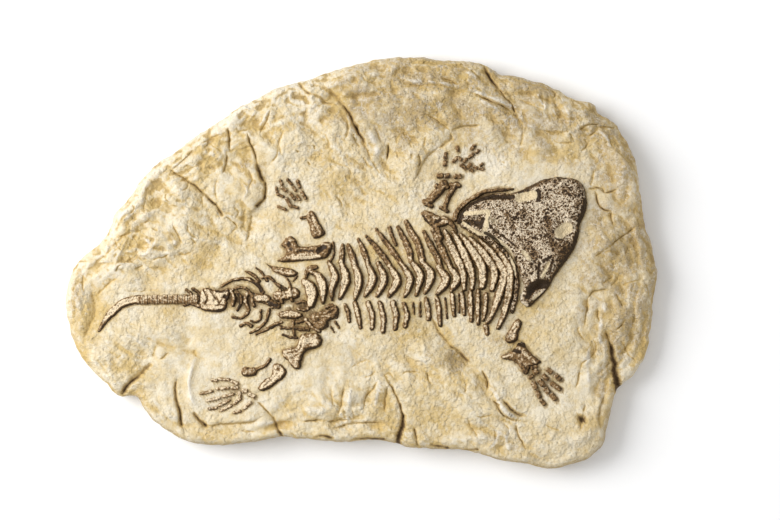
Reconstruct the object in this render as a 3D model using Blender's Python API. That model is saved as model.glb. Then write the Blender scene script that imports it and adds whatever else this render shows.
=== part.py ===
"""Fossil reptile skeleton in its stone slab.

The slab lies flat on its cut underside, and the bones stand in low relief on its top.  Plan
positions are millimetres on a drawing sheet laid over the slab, x to the right and y down, and
`place` turns them into metres about the slab's middle, with +Y up the sheet and +Z up.
"""

import math

import bmesh
import bpy
from mathutils import Matrix, Vector, noise
from mathutils.bvhtree import BVHTree
from mathutils.geometry import delaunay_2d_cdt

# ------------------------------------------------------------------ driving dimensions, millimetres
MM = 0.001
SHEET_MIDDLE = (361.5, 262.75)   # the sheet's point that lies over the slab's middle
GAP = 0.3                        # left between a bone and the stone, and between two bones

SLAB_CROWN = 36.0                # height of the slab's top away from its folds and edges
SLAB_RIM = 17.0                  # height of the slab's widest line
SLAB_FOOT_INSET = 6.0            # how far the underside's edge lies inside the widest line
SLAB_WAIST = 7.0                 # height where the wall starts to turn under
SLAB_WAIST_INSET = 1.0
ROLL_WIDTH = 26.0                # width of the rounded shoulder along the slab's edge
RIM_WAVE = 3.0                   # how much the widest line rises and falls
RIM_STEP = 14.0                  # spacing of the points round the slab
GRID_STEP = 17.5                 # spacing of the points on the slab's top
CREASE_STEP = 14.0               # spacing of the points along a crease
LUMP_SIZE = 46.0                 # plan size of the stone's broad lumps
LUMP_RISE = 2.6

PLATE_BASE = 12.0                # a plate bone starts this high inside the stone
PLATE_RIM = 0.9                  # height of a plate bone's edge above the stone
PLATE_STEP = 5.0                 # spacing of the points of a plate bone
DIGIT_STEP = 6.6                 # and of the low plates under the fingers and toes
STROKE_STEP = 9.0                # spacing of the sections of a rod-like bone

STONE = (0.70, 0.58, 0.36)
BONE = (0.24, 0.15, 0.08)

# The slab's outline, clockwise on the sheet from the top.
SLAB_OUTLINE = (
    (400, 56), (418, 56), (450, 59.5), (483, 62), (498, 71), (525, 77), (545, 82), (575, 98),
    (594, 103), (600, 112), (614, 122), (627, 140), (637, 160), (642, 190), (648, 230), (654, 250),
    (659, 270), (655, 300), (652, 330), (645, 360), (635, 375), (617, 392), (613, 405), (609, 425),
    (605, 444), (587, 461), (570, 466), (550, 470), (530, 465), (500, 461), (470, 452), (440, 450),
    (410, 448), (380, 441), (343, 443), (300, 440), (278, 438), (255, 443), (205, 446), (173, 437),
    (157, 425), (143, 411), (135, 397), (118, 397), (108, 388), (90, 370), (78, 357), (72, 343),
    (66, 320), (64, 298), (70, 272), (80, 258), (98, 243), (108, 228), (114, 213), (127, 198),
    (150, 168), (172, 153), (190, 139), (230, 112), (260, 95), (280, 85), (300, 80.5), (320, 74),
    (340, 68), (360, 62), (380, 58),
)

# Broad swells of the top: middle, half length, half width, turn in degrees, rise.
SWELLS = (
    ((405, 278), 118, 46, -2, 4.5),     # the barrel of the rib cage
    ((535, 232), 62, 50, 35, 3.0),      # under the skull
    ((455, 100), 85, 24, -12, 4.0),     # the raised fold along the top edge
    ((170, 210), 60, 38, 40, 3.5),      # the swollen left shoulder
    ((330, 100), 50, 24, 25, 2.5),
    ((560, 125), 46, 22, -35, 2.0),
    ((330, 405), 90, 22, 0, 3.0),
    ((545, 430), 46, 20, 8, 2.5),
    ((455, 162), 34, 26, 0, -3.0),      # bed of the left hand
    ((290, 195), 28, 24, 0, -2.5),      # bed of the left foot
    ((225, 395), 40, 22, 10, -2.5),     # bed of the right foot
    ((552, 390), 28, 24, 0, -1.5),      # bed of the right hand
    ((90, 315), 22, 46, 8, -4.0),       # the hollow near the left edge
    ((205, 340), 70, 34, 5, -1.5),
    ((640, 300), 30, 90, 5, -3.0),
)

# Creases, cracks and ledges: points, half width, rise (a groove's is negative).
CREASES = (
    (((171, 171), (200, 191), (221, 214), (236, 225)), 6, -3.5),
    (((228, 129), (230, 150), (223, 172)), 6, -2.5),
    (((247, 131), (258, 165), (263, 202), (249, 225)), 7, -4.5),
    (((238, 135), (247, 168), (252, 198)), 6, 2.5),
    (((328, 82), (348, 112), (359, 135), (372, 163), (384, 174)), 6, -4.5),
    (((297, 81), (312, 95), (335, 108)), 6, -3.0),
    (((415, 180), (418, 158), (432, 137), (465, 128), (484, 126)), 7, 3.5),
    (((400, 82), (440, 80), (480, 97), (525, 128)), 8, 3.5),
    (((483, 62), (497, 82), (513, 107), (523, 140)), 5, -3.5),
    (((546, 85), (553, 100), (545, 112)), 5, -2.5),
    (((578, 130), (597, 124), (615, 127)), 5, -2.5),
    (((590, 188), (605, 209), (613, 222)), 5, -2.5),
    (((637, 228), (610, 245), (585, 260)), 8, 2.5),
    (((607, 335), (613, 365), (619, 392)), 6, -5.5),
    (((589, 298), (583, 330), (594, 350), (579, 380)), 6, -2.5),
    (((430, 320), (455, 348), (480, 372), (488, 390)), 6, -3.5),
    (((500, 396), (510, 409), (525, 416)), 6, 3.0),
    (((385, 377), (400, 402), (397, 441)), 6, -5.0),
    (((343, 390), (338, 415)), 5, -2.5),
    (((295, 423), (340, 421), (380, 424)), 6, -3.0),
    (((262, 404), (275, 418), (280, 436)), 5, -2.5),
    (((150, 365), (135, 380), (126, 393)), 6, -5.0),
    (((175, 383), (176, 402), (181, 425)), 6, -4.0),
    (((204, 428), (245, 423), (268, 415)), 6, -3.0),
    (((97, 295), (115, 275), (140, 268)), 5, -2.5),
    (((118, 240), (150, 235), (178, 240)), 8, 2.5),
    (((125, 215), (160, 200), (182, 205)), 8, 2.5),
)

# The trunk from hip to neck: each vertebra's arch, then the upper ribs that it carries.
# A stroke is its middle line and its half width at the start and at the end.
VERTEBRAE = (
    ((((303, 282), (310, 286), (313, 294), (311, 302)), 4.2, 4.0),),
    ((((309, 270), (317, 274), (322, 284), (323, 301)), 2.9, 2.9),),
    ((((328, 265), (334, 279), (331, 289), (332, 299)), 2.7, 2.2),),
    ((((341, 262), (346, 279), (340, 298)), 3.4, 3.3),
     (((343, 245), (342, 254), (342, 264)), 1.6, 2.0)),
    ((((353, 262), (359, 280), (355, 299)), 3.3, 3.0),
     (((348, 245), (351, 253), (355, 264)), 2.0, 2.8)),
    ((((367, 263), (373, 279), (365, 296)), 3.0, 3.0),
     (((358, 239), (363, 249), (368, 264)), 1.6, 2.2)),
    ((((378, 263), (384, 279), (377, 296)), 3.0, 2.9),),
    ((((390, 266), (397, 281), (389, 296)), 3.3, 3.2),
     (((366, 236), (375, 246), (384, 257), (391, 268)), 1.7, 2.1)),
    ((((401, 263), (410, 278), (408, 290), (404, 297)), 2.9, 2.5),
     (((376, 229), (385, 241), (394, 253), (402, 265)), 1.6, 2.1)),
    ((((410, 259), (420, 274), (419, 284), (416, 295)), 3.0, 2.9),
     (((398, 227), (404, 239), (409, 250), (411, 261)), 2.0, 2.4)),
    ((((422, 261), (431, 275), (425, 293)), 3.3, 3.1),
     (((406, 222), (411, 232), (418, 244), (423, 263)), 2.6, 2.8)),
    ((((438, 267), (446, 280), (437, 294)), 3.4, 3.4),
     (((422, 233), (430, 247), (437, 259), (440, 269)), 1.4, 1.7)),
    ((((450, 267), (457, 279), (451, 291)), 3.3, 3.1),
     (((430, 231), (437, 245), (445, 257), (451, 269)), 1.6, 2.0)),
    ((((445, 231), (452, 245), (460, 259), (466, 274), (464, 289)), 2.3, 2.6),),
    ((((454, 233), (463, 247), (470, 260), (474, 273), (473, 287)), 1.8, 2.6),),
    ((((463, 237), (473, 249), (480, 261), (483, 273), (481, 286)), 1.8, 2.8),),
    ((((473, 240), (482, 250), (490, 262), (494, 273), (490, 289)), 1.8, 2.9),),
    ((((482, 240), (491, 250), (499, 261), (504, 273), (500, 290), (493, 312), (487, 329)), 2.0, 2.6),),
    ((((494, 246), (503, 257), (510, 268), (513, 281), (508, 298), (503, 316), (497, 330)), 2.2, 2.0),),
)

# A rib that has come away from its vertebra.
LOOSE_RIB = (((389.5, 227), (392, 236), (396, 244.5)), 2.0, 1.8)

# The right side's ribs, from hip to neck.
RIGHT_RIBS = (
    (((345, 305), (348, 313), (349, 321)), 1.6, 1.4),
    (((355, 303), (358, 315), (360, 327)), 2.3, 2.0),
    (((368, 303), (372, 315), (372, 328)), 2.5, 2.1),
    (((380, 303), (383, 317), (383, 331)), 2.2, 2.3),
    (((393, 303), (396, 315), (395, 329)), 2.9, 2.3),
    (((404, 304), (407, 315), (405, 326)), 2.0, 2.1),
    (((426, 299), (428, 309), (429, 319)), 2.2, 2.2),
    (((437, 299), (439, 311), (440, 325)), 2.3, 2.1),
    (((452, 295), (453, 305), (454, 315)), 2.2, 1.9),
    (((462, 293), (463, 303), (464, 314)), 2.1, 1.9),
    (((470, 292), (471, 306), (471, 320)), 2.3, 2.2),
    (((478, 291), (478, 308), (478, 324)), 2.1, 1.9),
    (((486, 294), (485.5, 307), (483.5, 320)), 1.9, 1.6),
)

# Limb and hip bones whose outlines are more than a stroke: outline, height, shoulder width.
PLATE_BONES = {
    "humerus_left": (((421, 213), (427, 210.5), (434, 213), (441, 217), (448, 218.5), (450, 222.5),
                      (444, 226), (436, 227.5), (429, 225), (424, 219)), 5.0, 5.5),
    "humerus_right": (((522, 322), (519, 331), (516, 341), (508, 343), (505, 338), (509, 330),
                       (514, 322), (518, 319)), 4.6, 5.0),
    "forearm_right": (((501, 356), (508, 353), (514, 349), (519, 342), (524, 343), (527, 349),
                       (534, 356), (541, 361), (537, 365), (530, 368), (528, 374), (524, 374),
                       (519, 366), (513, 361), (503, 359)), 5.6, 6.0),
    "femur_left": (((281, 245), (285, 239), (291, 236), (296, 240), (299, 246), (308, 246.5),
                    (318, 245), (326, 241.5), (332, 244), (331, 251), (326, 258), (316, 260),
                    (303, 260.5), (290, 262), (277, 261), (284, 256), (286, 250)), 5.0, 6.0),
    "shin_left": (((308, 213), (311, 210.5), (315, 213), (319, 222), (325, 231), (324, 235),
                   (315, 239), (311, 234), (309, 225), (306, 218)), 4.4, 5.5),
    "femur_right": (((301, 335), (306, 333), (318, 333.5), (322, 340), (320, 346), (313, 349),
                     (305, 352), (302, 360), (300, 368), (294, 369), (289, 362), (283, 357),
                     (282, 351), (288, 348), (296, 347), (298, 342)), 5.6, 6.0),
    "tibia_right": (((274, 364), (280, 364), (286, 370), (285, 376), (278, 382), (270, 388),
                     (262, 391.5), (258, 388), (264, 380), (271, 376), (272, 370)), 4.0, 5.0),
    "ilium_left": (((264, 262), (271, 265.5), (281, 267), (291, 268.5), (298, 273), (292, 277),
                    (283, 275.5), (274, 272)), 3.4, 4.0),
    "ilium_right": (((310, 318), (314, 313), (322, 311), (330, 308), (336, 305), (339, 309),
                     (338, 316), (333, 319), (328, 322), (328, 327), (321, 330), (315, 328)),
                    4.6, 5.5),
    "ischium_right": (((277, 314), (283, 311), (291, 309.5), (299, 312), (303, 315.5), (298, 318.5),
                       (289, 319), (281, 318)), 3.4, 4.0),
}

# Hands and feet: the low solid that their finger and toe bones stand on.
DIGIT_PLATES = {
    "hand_left": (((437, 178), (439, 172), (443, 170), (443, 158), (446, 151), (450, 160),
                   (455, 147), (460, 148), (463, 155), (472, 145), (477, 148), (483, 151),
                   (479, 162), (485, 166), (483, 171), (470, 172), (463, 173), (461, 178.5),
                   (452, 180)), 1.7, 3.0),
    "hand_right": (((533, 373), (539, 367), (542, 371), (549, 368), (555, 371), (563, 380),
                    (564, 390), (559, 393), (559, 400), (551, 401), (547, 406), (541, 402),
                    (536, 394), (532, 386), (530, 379)), 2.0, 3.0),
    "foot_left": (((274, 187), (279, 179), (288, 177), (297, 178), (302, 183), (307, 193),
                   (306, 199), (299, 202), (297, 209), (288, 210), (276, 206), (276, 197)),
                  1.6, 3.0),
    "foot_right": (((200, 394), (204, 390), (212, 387), (211, 381), (222, 377), (232, 379),
                    (240, 385), (248, 391), (257, 396), (250, 404), (240, 410), (233, 413),
                    (221, 414), (208, 410), (208, 403), (206, 397)), 1.6, 3.0),
}

# Bones that are strokes: each has one or more strokes, and how flat its section is.
STROKE_BONES = {
    "jaw_left": (((((455, 219), (457, 212), (463, 205), (472, 198.5), (483, 192.5), (494, 190.5)),
                   2.3, 1.8),), 1.1),
    "radius_left": (((((444, 184), (440, 190), (433, 197), (427, 203)), 4.4, 3.9),), 0.8),
    "ulna_left": (((((456, 184), (451, 192), (447, 200), (445, 209)), 3.4, 2.8),), 0.9),
    "fibula_right": (((((246, 372), (253, 371.5)), 5.0, 4.4),
                      (((251, 371), (259, 368.5), (266, 364.5), (270, 359.5)), 2.0, 1.5)), 0.75),
    "sacrum": (((((278, 296), (287, 295), (294.5, 293)), 5.4, 5.6),), 0.72),
    "tail": (((((98, 330), (106, 320.5), (116, 311), (130, 303.5), (150, 299.5), (185, 300)),
               1.3, 5.0),
              (((183, 300), (200, 300), (214, 300), (238, 299), (256, 299), (270, 300)), 5.0, 7.0),
              (((223, 285), (236, 280), (250, 280), (261, 288), (262, 296)), 1.4, 2.2),
              (((246, 272), (260, 278), (266, 286), (268, 296)), 1.3, 1.9),
              (((240, 325), (252, 321), (260, 312), (258, 300)), 1.2, 1.7),
              (((253, 332), (264, 324), (269, 313), (268, 302)), 1.2, 1.7)), 0.62),
}

# ------------------------------------------------------------------ the skull, millimetres
SKULL_OUTLINE = (
    (460, 220), (463, 212.5), (470, 206), (480, 200), (492, 195.5), (506, 194), (519, 191),
    (533, 184), (545, 179), (557, 177), (569, 178), (578, 181), (584, 188), (586.5, 201),
    (585, 212), (580, 224), (578, 236), (574, 248), (566, 260), (555, 275), (547, 289),
    (538, 299), (529, 307), (523, 304), (520, 297), (524, 286), (520, 275), (517, 265),
    (511, 254), (504, 246.5), (495, 240), (486, 237), (476, 233), (467, 227.5),
)
SKULL_STEP = 6.8
SKULL_RISE = 11.0
SKULL_SHOULDER = 15.0
SKULL_RIM = 2.2
# Openings and hollows of the skull: middle, half length, half width, turn in degrees, depth.
SKULL_HOLLOWS = (
    ((526, 196), 10.0, 5.2, -12, 4.5),     # left eye socket
    ((564, 230), 11.0, 7.5, 48, 6.0),      # right eye socket
    ((475, 221), 10.5, 5.5, -8, 5.5),      # the opening behind the left cheek
    ((537, 289), 12.5, 5.6, -42, 8.0),     # the deep hollow at the right jaw's hinge
    ((493, 239), 9.0, 2.2, 48, 3.0),       # the slot behind the roof
)
SKULL_RIDGES = (
    (((503, 241), (516, 252), (529, 264)), 3.5, 1.6),
    (((488, 218), (493, 229), (503, 241)), 3.0, 1.4),
    (((472, 209), (488, 203), (508, 201)), 3.0, 1.2),
)


# ------------------------------------------------------------------ plan geometry
def place(x, y, z=0.0):
    """The point in metres for a place on the sheet and a height in millimetres."""
    return Vector(((x - SHEET_MIDDLE[0]) * MM, (SHEET_MIDDLE[1] - y) * MM, z * MM))


def smooth_line(points, step, closed=False):
    """Points about one step apart on the smooth curve through the given ones."""
    count = len(points)
    spans = count if closed else count - 1

    def corner(index):
        if closed:
            return Vector(points[index % count])
        if index < 0:
            return Vector(points[0]) * 2 - Vector(points[1])
        if index >= count:
            return Vector(points[-1]) * 2 - Vector(points[-2])
        return Vector(points[index])

    line = []
    for span in range(spans):
        before, start, end, after = (corner(span + offset) for offset in (-1, 0, 1, 2))
        pieces = max(1, round((end - start).length / step))
        for piece in range(pieces):
            t = piece / pieces
            line.append(0.5 * (2 * start + (end - before) * t
                               + (2 * before - 5 * start + 4 * end - after) * t * t
                               + (3 * start - before - 3 * end + after) * t ** 3))
    if not closed:
        line.append(Vector(points[-1]))
    return line


def line_distance(point, line, closed=False):
    """Distance in the plan from a point to a line of points."""
    ends = line[1:] + line[:1] if closed else line[1:]
    nearest = math.inf
    for start, end in zip(line, ends):
        run = end - start
        along = max(0.0, min(1.0, (point - start).dot(run) / max(run.length_squared, 1e-9)))
        nearest = min(nearest, (point - start - run * along).length)
    return nearest


def bell(ratio):
    """A smooth bump: 1 in the middle, 0 at a ratio of 1 and beyond."""
    return (1.0 - ratio * ratio) ** 2 if ratio < 1.0 else 0.0


def oval_ratio(point, middle, half_length, half_width, turn):
    """How far out a point lies in a turned oval: 0 in its middle, 1 on its line."""
    angle = math.radians(turn)
    offset = point - Vector(middle)
    along = offset.x * math.cos(angle) + offset.y * math.sin(angle)
    across = offset.y * math.cos(angle) - offset.x * math.sin(angle)
    return math.hypot(along / half_length, across / half_width)


def shoulder(distance, width):
    """Rounded rise from an edge: 0 on the edge, 1 from one width inwards."""
    inward = min(distance / width, 1.0)
    return math.sqrt(1.0 - (1.0 - inward) ** 2)


def filled_plan(rim, spacing, guides=(), clear=0.6):
    """Triangles that fill a closed rim, with a staggered grid of points and the guide points."""
    points = list(rim)
    guide_points = []
    for guide in guides:
        inside = [point for point in guide if line_distance(point, rim, closed=True) > 0.3 * spacing]
        guide_points += inside
    points += guide_points
    low = Vector((min(p.x for p in rim), min(p.y for p in rim)))
    high = Vector((max(p.x for p in rim), max(p.y for p in rim)))
    row_step = spacing * math.sqrt(3) / 2
    for row in range(int((high.y - low.y) / row_step) + 1):
        shift = spacing / 2 * (row % 2)
        for column in range(int((high.x - low.x) / spacing) + 1):
            point = low + Vector((column * spacing + shift, row * row_step))
            near_rim = line_distance(point, rim, closed=True) < clear * spacing
            near_guide = any((point - guide).length < clear * spacing for guide in guide_points)
            if not near_rim and not near_guide:
                points.append(point)
    result = delaunay_2d_cdt(points, [], [list(range(len(rim)))], 1, 1e-4)
    used = sorted({index for face in result[2] for index in face})
    number = {index: place_in_list for place_in_list, index in enumerate(used)}
    faces = [[number[index] for index in face] for face in result[2]]
    return [result[0][index] for index in used], faces


# ------------------------------------------------------------------ solids
def new_object(name, mesh, collection, colour, roughness):
    """An object with its own material, shaded smooth up to a clear edge."""
    body = bpy.data.objects.new(name, mesh)
    collection.objects.link(body)
    finish = bpy.data.materials.new(name + "_finish")
    finish.use_nodes = True
    shader = finish.node_tree.nodes["Principled BSDF"]
    shader.inputs["Base Color"].default_value = (*colour, 1.0)
    shader.inputs["Roughness"].default_value = roughness
    shader.inputs["Metallic"].default_value = 0.0
    mesh.materials.clear()
    mesh.materials.append(finish)
    mesh.shade_smooth()
    mesh.set_sharp_from_angle(angle=math.radians(38))
    return body


def closed_mesh(name, plan, faces, heights, rings):
    """A closed mesh: a top from its plan and heights, walls down through rings, a flat bottom."""
    build = bmesh.new()
    top = [build.verts.new(place(point.x, point.y, height)) for point, height in zip(plan, heights)]
    for face in faces:
        build.faces.new([top[index] for index in face])
    upper = top[:len(rings[0])]
    for ring in rings:
        lower = [build.verts.new(place(*spot)) for spot in ring]
        for index in range(len(lower)):
            after = (index + 1) % len(lower)
            build.faces.new((upper[index], upper[after], lower[after], lower[index]))
        upper = lower
    build.faces.new(upper)
    bmesh.ops.recalc_face_normals(build, faces=build.faces)
    bmesh.ops.triangulate(build, faces=build.faces)
    mesh = bpy.data.meshes.new(name)
    build.to_mesh(mesh)
    build.free()
    return mesh


def slab_mesh():
    """The stone: a domed, creased top, a rounded shoulder, a rough wall and a flat underside."""
    rim = smooth_line(SLAB_OUTLINE, RIM_STEP, closed=True)
    middle = Vector(SHEET_MIDDLE)
    guides = []
    for inset in (3.0, 9.0):
        guides.append([point + (middle - point).normalized() * inset for point in rim])
    creases = [(smooth_line(points, CREASE_STEP), width, rise) for points, width, rise in CREASES]
    for line, width, rise in creases:
        guides.append(line)
        for side in (-1, 1):
            shifted = []
            for start, end in zip(line, line[1:]):
                run = (end - start).normalized()
                shifted.append((start + end) / 2 + Vector((-run.y, run.x)) * side * width)
            guides.append(shifted)
    plan, faces = filled_plan(rim, GRID_STEP, guides)

    def rim_height(point):
        return SLAB_RIM + RIM_WAVE * noise.noise(Vector((point.x, point.y, 9.0)) / LUMP_SIZE)

    def top_height(point):
        level = SLAB_CROWN
        for swell in SWELLS:
            level += swell[4] * bell(oval_ratio(point, *swell[:4]) / 1.5)
        for line, width, rise in creases:
            level += rise * bell(line_distance(point, line) / (width * 1.4))
        level += LUMP_RISE * noise.noise(Vector((point.x, point.y, 0.0)) / LUMP_SIZE)
        distance = line_distance(point, rim, closed=True)
        low = rim_height(point)
        return low + (level - low) * shoulder(distance, ROLL_WIDTH)

    heights = [top_height(point) for point in plan]
    rings = []
    for height, inset in ((SLAB_WAIST, SLAB_WAIST_INSET), (0.0, SLAB_FOOT_INSET)):
        ring = [point + (middle - point).normalized() * inset for point in plan[:len(rim)]]
        rings.append([(point.x, point.y, height) for point in ring])
    return closed_mesh("slab", plan, faces, heights, rings)


def ground_under(tree):
    """A function that gives the stone's height in millimetres at a place on the sheet."""
    def ground(x, y):
        hit = tree.ray_cast(place(x, y, 200.0), Vector((0, 0, -1)))[0]
        return hit.z / MM
    return ground


def plate_mesh(name, outline, height, width, ground, step, rim_height=PLATE_RIM, shape=None):
    """A bone with a free outline: a cushion on the stone, reaching down into it for its cut."""
    rim = smooth_line(outline, step, closed=True)
    plan, faces = filled_plan(rim, step * 1.1)
    heights = []
    for point in plan:
        distance = line_distance(point, rim, closed=True)
        rise = rim_height + (height - rim_height) * shoulder(distance, width)
        if shape:
            rise += shape(point, distance)
        heights.append(ground(point.x, point.y) + GAP + rise)
    ring = [(point.x, point.y, PLATE_BASE) for point in plan[:len(rim)]]
    return closed_mesh(name, plan, faces, heights, [ring])


def stroke_mesh(name, stroke, flatness, ground, step, sides):
    """A rod-like bone along its middle line, as wide as the stroke and flattened towards the stone."""
    points, start_width, end_width = stroke
    line = smooth_line(points, step)
    curve = bpy.data.curves.new(name, "CURVE")
    curve.dimensions = "3D"
    curve.bevel_depth = MM
    curve.bevel_resolution = sides // 2 - 2
    curve.use_fill_caps = True
    spline = curve.splines.new("POLY")
    ends = [line[0] + (line[0] - line[1]).normalized() * start_width * 0.55,
            line[-1] + (line[-1] - line[-2]).normalized() * end_width * 0.55]
    run = [ends[0]] + line + [ends[1]]
    spline.points.add(len(run) - 1)
    for index, spot in enumerate(run):
        share = index / (len(run) - 1)
        width = start_width + (end_width - start_width) * share
        if index in (0, len(run) - 1):
            width *= 0.55
        spline.points[index].co = (*place(spot.x, spot.y, 0.0), 1.0)
        spline.points[index].radius = width
    rod = bpy.data.objects.new(name, curve)
    bpy.context.scene.collection.objects.link(rod)
    evaluated = rod.evaluated_get(bpy.context.evaluated_depsgraph_get())
    mesh = bpy.data.meshes.new_from_object(evaluated)
    bpy.data.objects.remove(rod)
    bpy.data.curves.remove(curve)
    build = bmesh.new()
    build.from_mesh(mesh)
    bmesh.ops.remove_doubles(build, verts=build.verts, dist=1e-6)
    bmesh.ops.recalc_face_normals(build, faces=build.faces)
    for vertex in build.verts:
        x = vertex.co.x / MM + SHEET_MIDDLE[0]
        y = SHEET_MIDDLE[1] - vertex.co.y / MM
        vertex.co.z = vertex.co.z * flatness + (ground(x, y) + GAP + 0.35) * MM
    build.to_mesh(mesh)
    build.free()
    mesh.name = name
    return mesh


def add_boolean(body, operation, tool):
    """Cut or join a body with a tool, with Blender's exact solver."""
    modifier = body.modifiers.new(operation.lower() + "_" + tool.name, "BOOLEAN")
    modifier.operation = operation
    modifier.solver = "EXACT"
    modifier.object = tool


def add_tool(name, mesh, tools):
    """A helper that shapes other bodies and isn't part of the model."""
    tool = bpy.data.objects.new(name, mesh)
    tools.objects.link(tool)
    tool.hide_render = True
    tool.display_type = "WIRE"
    return tool


def stroke_bone(name, strokes, flatness, ground, model, tools, stone_tool, step=STROKE_STEP, sides=6):
    """A bone made of strokes that grow into each other, cut off where the stone begins."""
    first = stroke_mesh(name, strokes[0], flatness, ground, step, sides)
    body = new_object(name, first, model, BONE, 0.62)
    for number, stroke in enumerate(strokes[1:], start=1):
        label = f"{name}_branch_{number}"
        branch = add_tool(label, stroke_mesh(label, stroke, flatness, ground, step, sides), tools)
        add_boolean(body, "UNION", branch)
    add_boolean(body, "DIFFERENCE", stone_tool)
    return body


def plate_bone(name, shape, ground, model, stone_tool, step):
    """A bone with a free outline, cut off where the stone begins."""
    outline, height, width = shape
    mesh = plate_mesh(name, outline, height, width, ground, step)
    body = new_object(name, mesh, model, BONE, 0.62)
    add_boolean(body, "DIFFERENCE", stone_tool)
    return body


def skull(ground, model, stone_tool):
    """The skull's roof and cheeks, with its sockets and hollows sunk into it."""
    ridges = [(smooth_line(points, SKULL_STEP), width, rise) for points, width, rise in SKULL_RIDGES]

    def features(point, distance):
        change = 0.0
        for hollow in SKULL_HOLLOWS:
            change -= hollow[4] * bell(oval_ratio(point, *hollow[:4]) / 1.35)
        for line, width, rise in ridges:
            change += rise * bell(line_distance(point, line) / (width * 1.6))
        return max(change, -0.85 * (SKULL_RIM + (SKULL_RISE - SKULL_RIM)
                                    * shoulder(distance, SKULL_SHOULDER)))

    mesh = plate_mesh("skull", SKULL_OUTLINE, SKULL_RISE, SKULL_SHOULDER, ground, SKULL_STEP,
                      SKULL_RIM, features)
    body = new_object("skull", mesh, model, BONE, 0.55)
    add_boolean(body, "DIFFERENCE", stone_tool)
    return body


# ------------------------------------------------------------------ assembly
def main():
    """Clear the scene, then make the slab and every bone on it."""
    for item in list(bpy.data.objects):
        bpy.data.objects.remove(item)
    model = bpy.data.collections.new("fossil_reptile_skeleton")
    tools = bpy.data.collections.new("cutters")
    for collection in (model, tools):
        bpy.context.scene.collection.children.link(collection)

    stone = slab_mesh()
    new_object("slab", stone, model, STONE, 0.85)
    raised = stone.copy()
    raised.transform(Matrix.Translation((0.0, 0.0, GAP * MM)))
    stone_tool = add_tool("stone_cutter", raised, tools)
    build = bmesh.new()
    build.from_mesh(stone)
    ground = ground_under(BVHTree.FromBMesh(build))
    build.free()

    skull(ground, model, stone_tool)
    for name, shape in PLATE_BONES.items():
        plate_bone(name, shape, ground, model, stone_tool, PLATE_STEP)
    for name, shape in DIGIT_PLATES.items():
        plate_bone(name, shape, ground, model, stone_tool, DIGIT_STEP)
    for name, (strokes, flatness) in STROKE_BONES.items():
        stroke_bone(name, strokes, flatness, ground, model, tools, stone_tool)
    for number, strokes in enumerate(VERTEBRAE, start=1):
        name = f"vertebra_{number:02d}"
        stroke_bone(name, strokes, 1.0, ground, model, tools, stone_tool)
    for number, stroke in enumerate(RIGHT_RIBS, start=1):
        name = f"rib_right_{number:02d}"
        stroke_bone(name, (stroke,), 0.95, ground, model, tools, stone_tool)
    stroke_bone("rib_left_loose", (LOOSE_RIB,), 0.95, ground, model, tools, stone_tool)


main()
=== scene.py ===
"""Dresses the fossil reptile skeleton: the folded stone slab and the worn, pitted bones on it.

Plan positions are millimetres on the drawing sheet that the construction uses: x to the right, y
down.  `Sheet` turns them into metres about the slab's middle.  Heights are millimetres above the
slab's underside until a mesh is made.
"""

import logging
import math
from dataclasses import dataclass, field, replace
from enum import Enum
from functools import cached_property
from typing import Any, Iterable, Sequence

import bpy
import numpy as np
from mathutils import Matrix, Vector
from mathutils.bvhtree import BVHTree


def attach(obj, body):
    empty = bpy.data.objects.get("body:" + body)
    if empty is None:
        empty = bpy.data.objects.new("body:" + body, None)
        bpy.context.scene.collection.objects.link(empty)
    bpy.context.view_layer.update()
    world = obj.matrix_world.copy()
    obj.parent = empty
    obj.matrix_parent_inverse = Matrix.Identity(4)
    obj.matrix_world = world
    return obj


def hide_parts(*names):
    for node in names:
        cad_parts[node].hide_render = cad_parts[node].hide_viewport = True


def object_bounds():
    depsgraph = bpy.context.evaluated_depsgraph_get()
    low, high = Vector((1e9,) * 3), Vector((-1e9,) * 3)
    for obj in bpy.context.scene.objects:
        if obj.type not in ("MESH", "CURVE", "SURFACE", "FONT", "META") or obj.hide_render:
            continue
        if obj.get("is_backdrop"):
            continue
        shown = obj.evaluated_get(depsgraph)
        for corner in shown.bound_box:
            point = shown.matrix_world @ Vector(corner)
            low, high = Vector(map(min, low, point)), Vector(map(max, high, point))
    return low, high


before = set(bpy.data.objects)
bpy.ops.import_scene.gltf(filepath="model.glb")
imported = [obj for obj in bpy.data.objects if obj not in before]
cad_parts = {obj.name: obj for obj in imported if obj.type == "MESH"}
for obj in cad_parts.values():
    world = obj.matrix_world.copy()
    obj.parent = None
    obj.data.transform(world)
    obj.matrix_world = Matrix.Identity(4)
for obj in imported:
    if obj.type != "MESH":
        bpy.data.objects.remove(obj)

log = logging.getLogger("fossil")

MM = 0.001
ROOT = "root"
# The sheet direction away from the light: the side of a bone that faces this way gets painted shade, and
# the side facing the other way a painted highlight.
AWAY_FROM_LIGHT = (0.72, 0.62)
Line = Sequence[tuple[float, float]]
Array = np.ndarray
Colour = tuple[float, float, float]
Piece = bpy.types.Object


# ------------------------------------------------------------------ plan geometry
class Sheet:
    """The drawing sheet laid over the slab, in millimetres."""

    MIDDLE = (361.5, 262.75)

    @staticmethod
    def to_metres(x: Array, y: Array, z: Array) -> Array:
        """Points in metres for sheet places and heights in millimetres."""
        return np.stack(((x - Sheet.MIDDLE[0]) * MM, (Sheet.MIDDLE[1] - y) * MM, z * MM), axis=-1)

    @staticmethod
    def bearing(x: Array, y: Array) -> Array:
        """The direction in which places lie from the slab's middle, in radians."""
        return np.arctan2(y - Sheet.MIDDLE[1], x - Sheet.MIDDLE[0])

    @staticmethod
    def outward(places: Array) -> Array:
        """Unit steps on the sheet from the slab's middle towards places."""
        away = places - np.array(Sheet.MIDDLE)
        return away / np.linalg.norm(away, axis=1)[:, None]

    @staticmethod
    def from_metres(points: Array) -> Array:
        """Sheet x, y and height in millimetres for points in metres."""
        return np.stack((points[..., 0] / MM + Sheet.MIDDLE[0],
                         Sheet.MIDDLE[1] - points[..., 1] / MM, points[..., 2] / MM), axis=-1)


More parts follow.
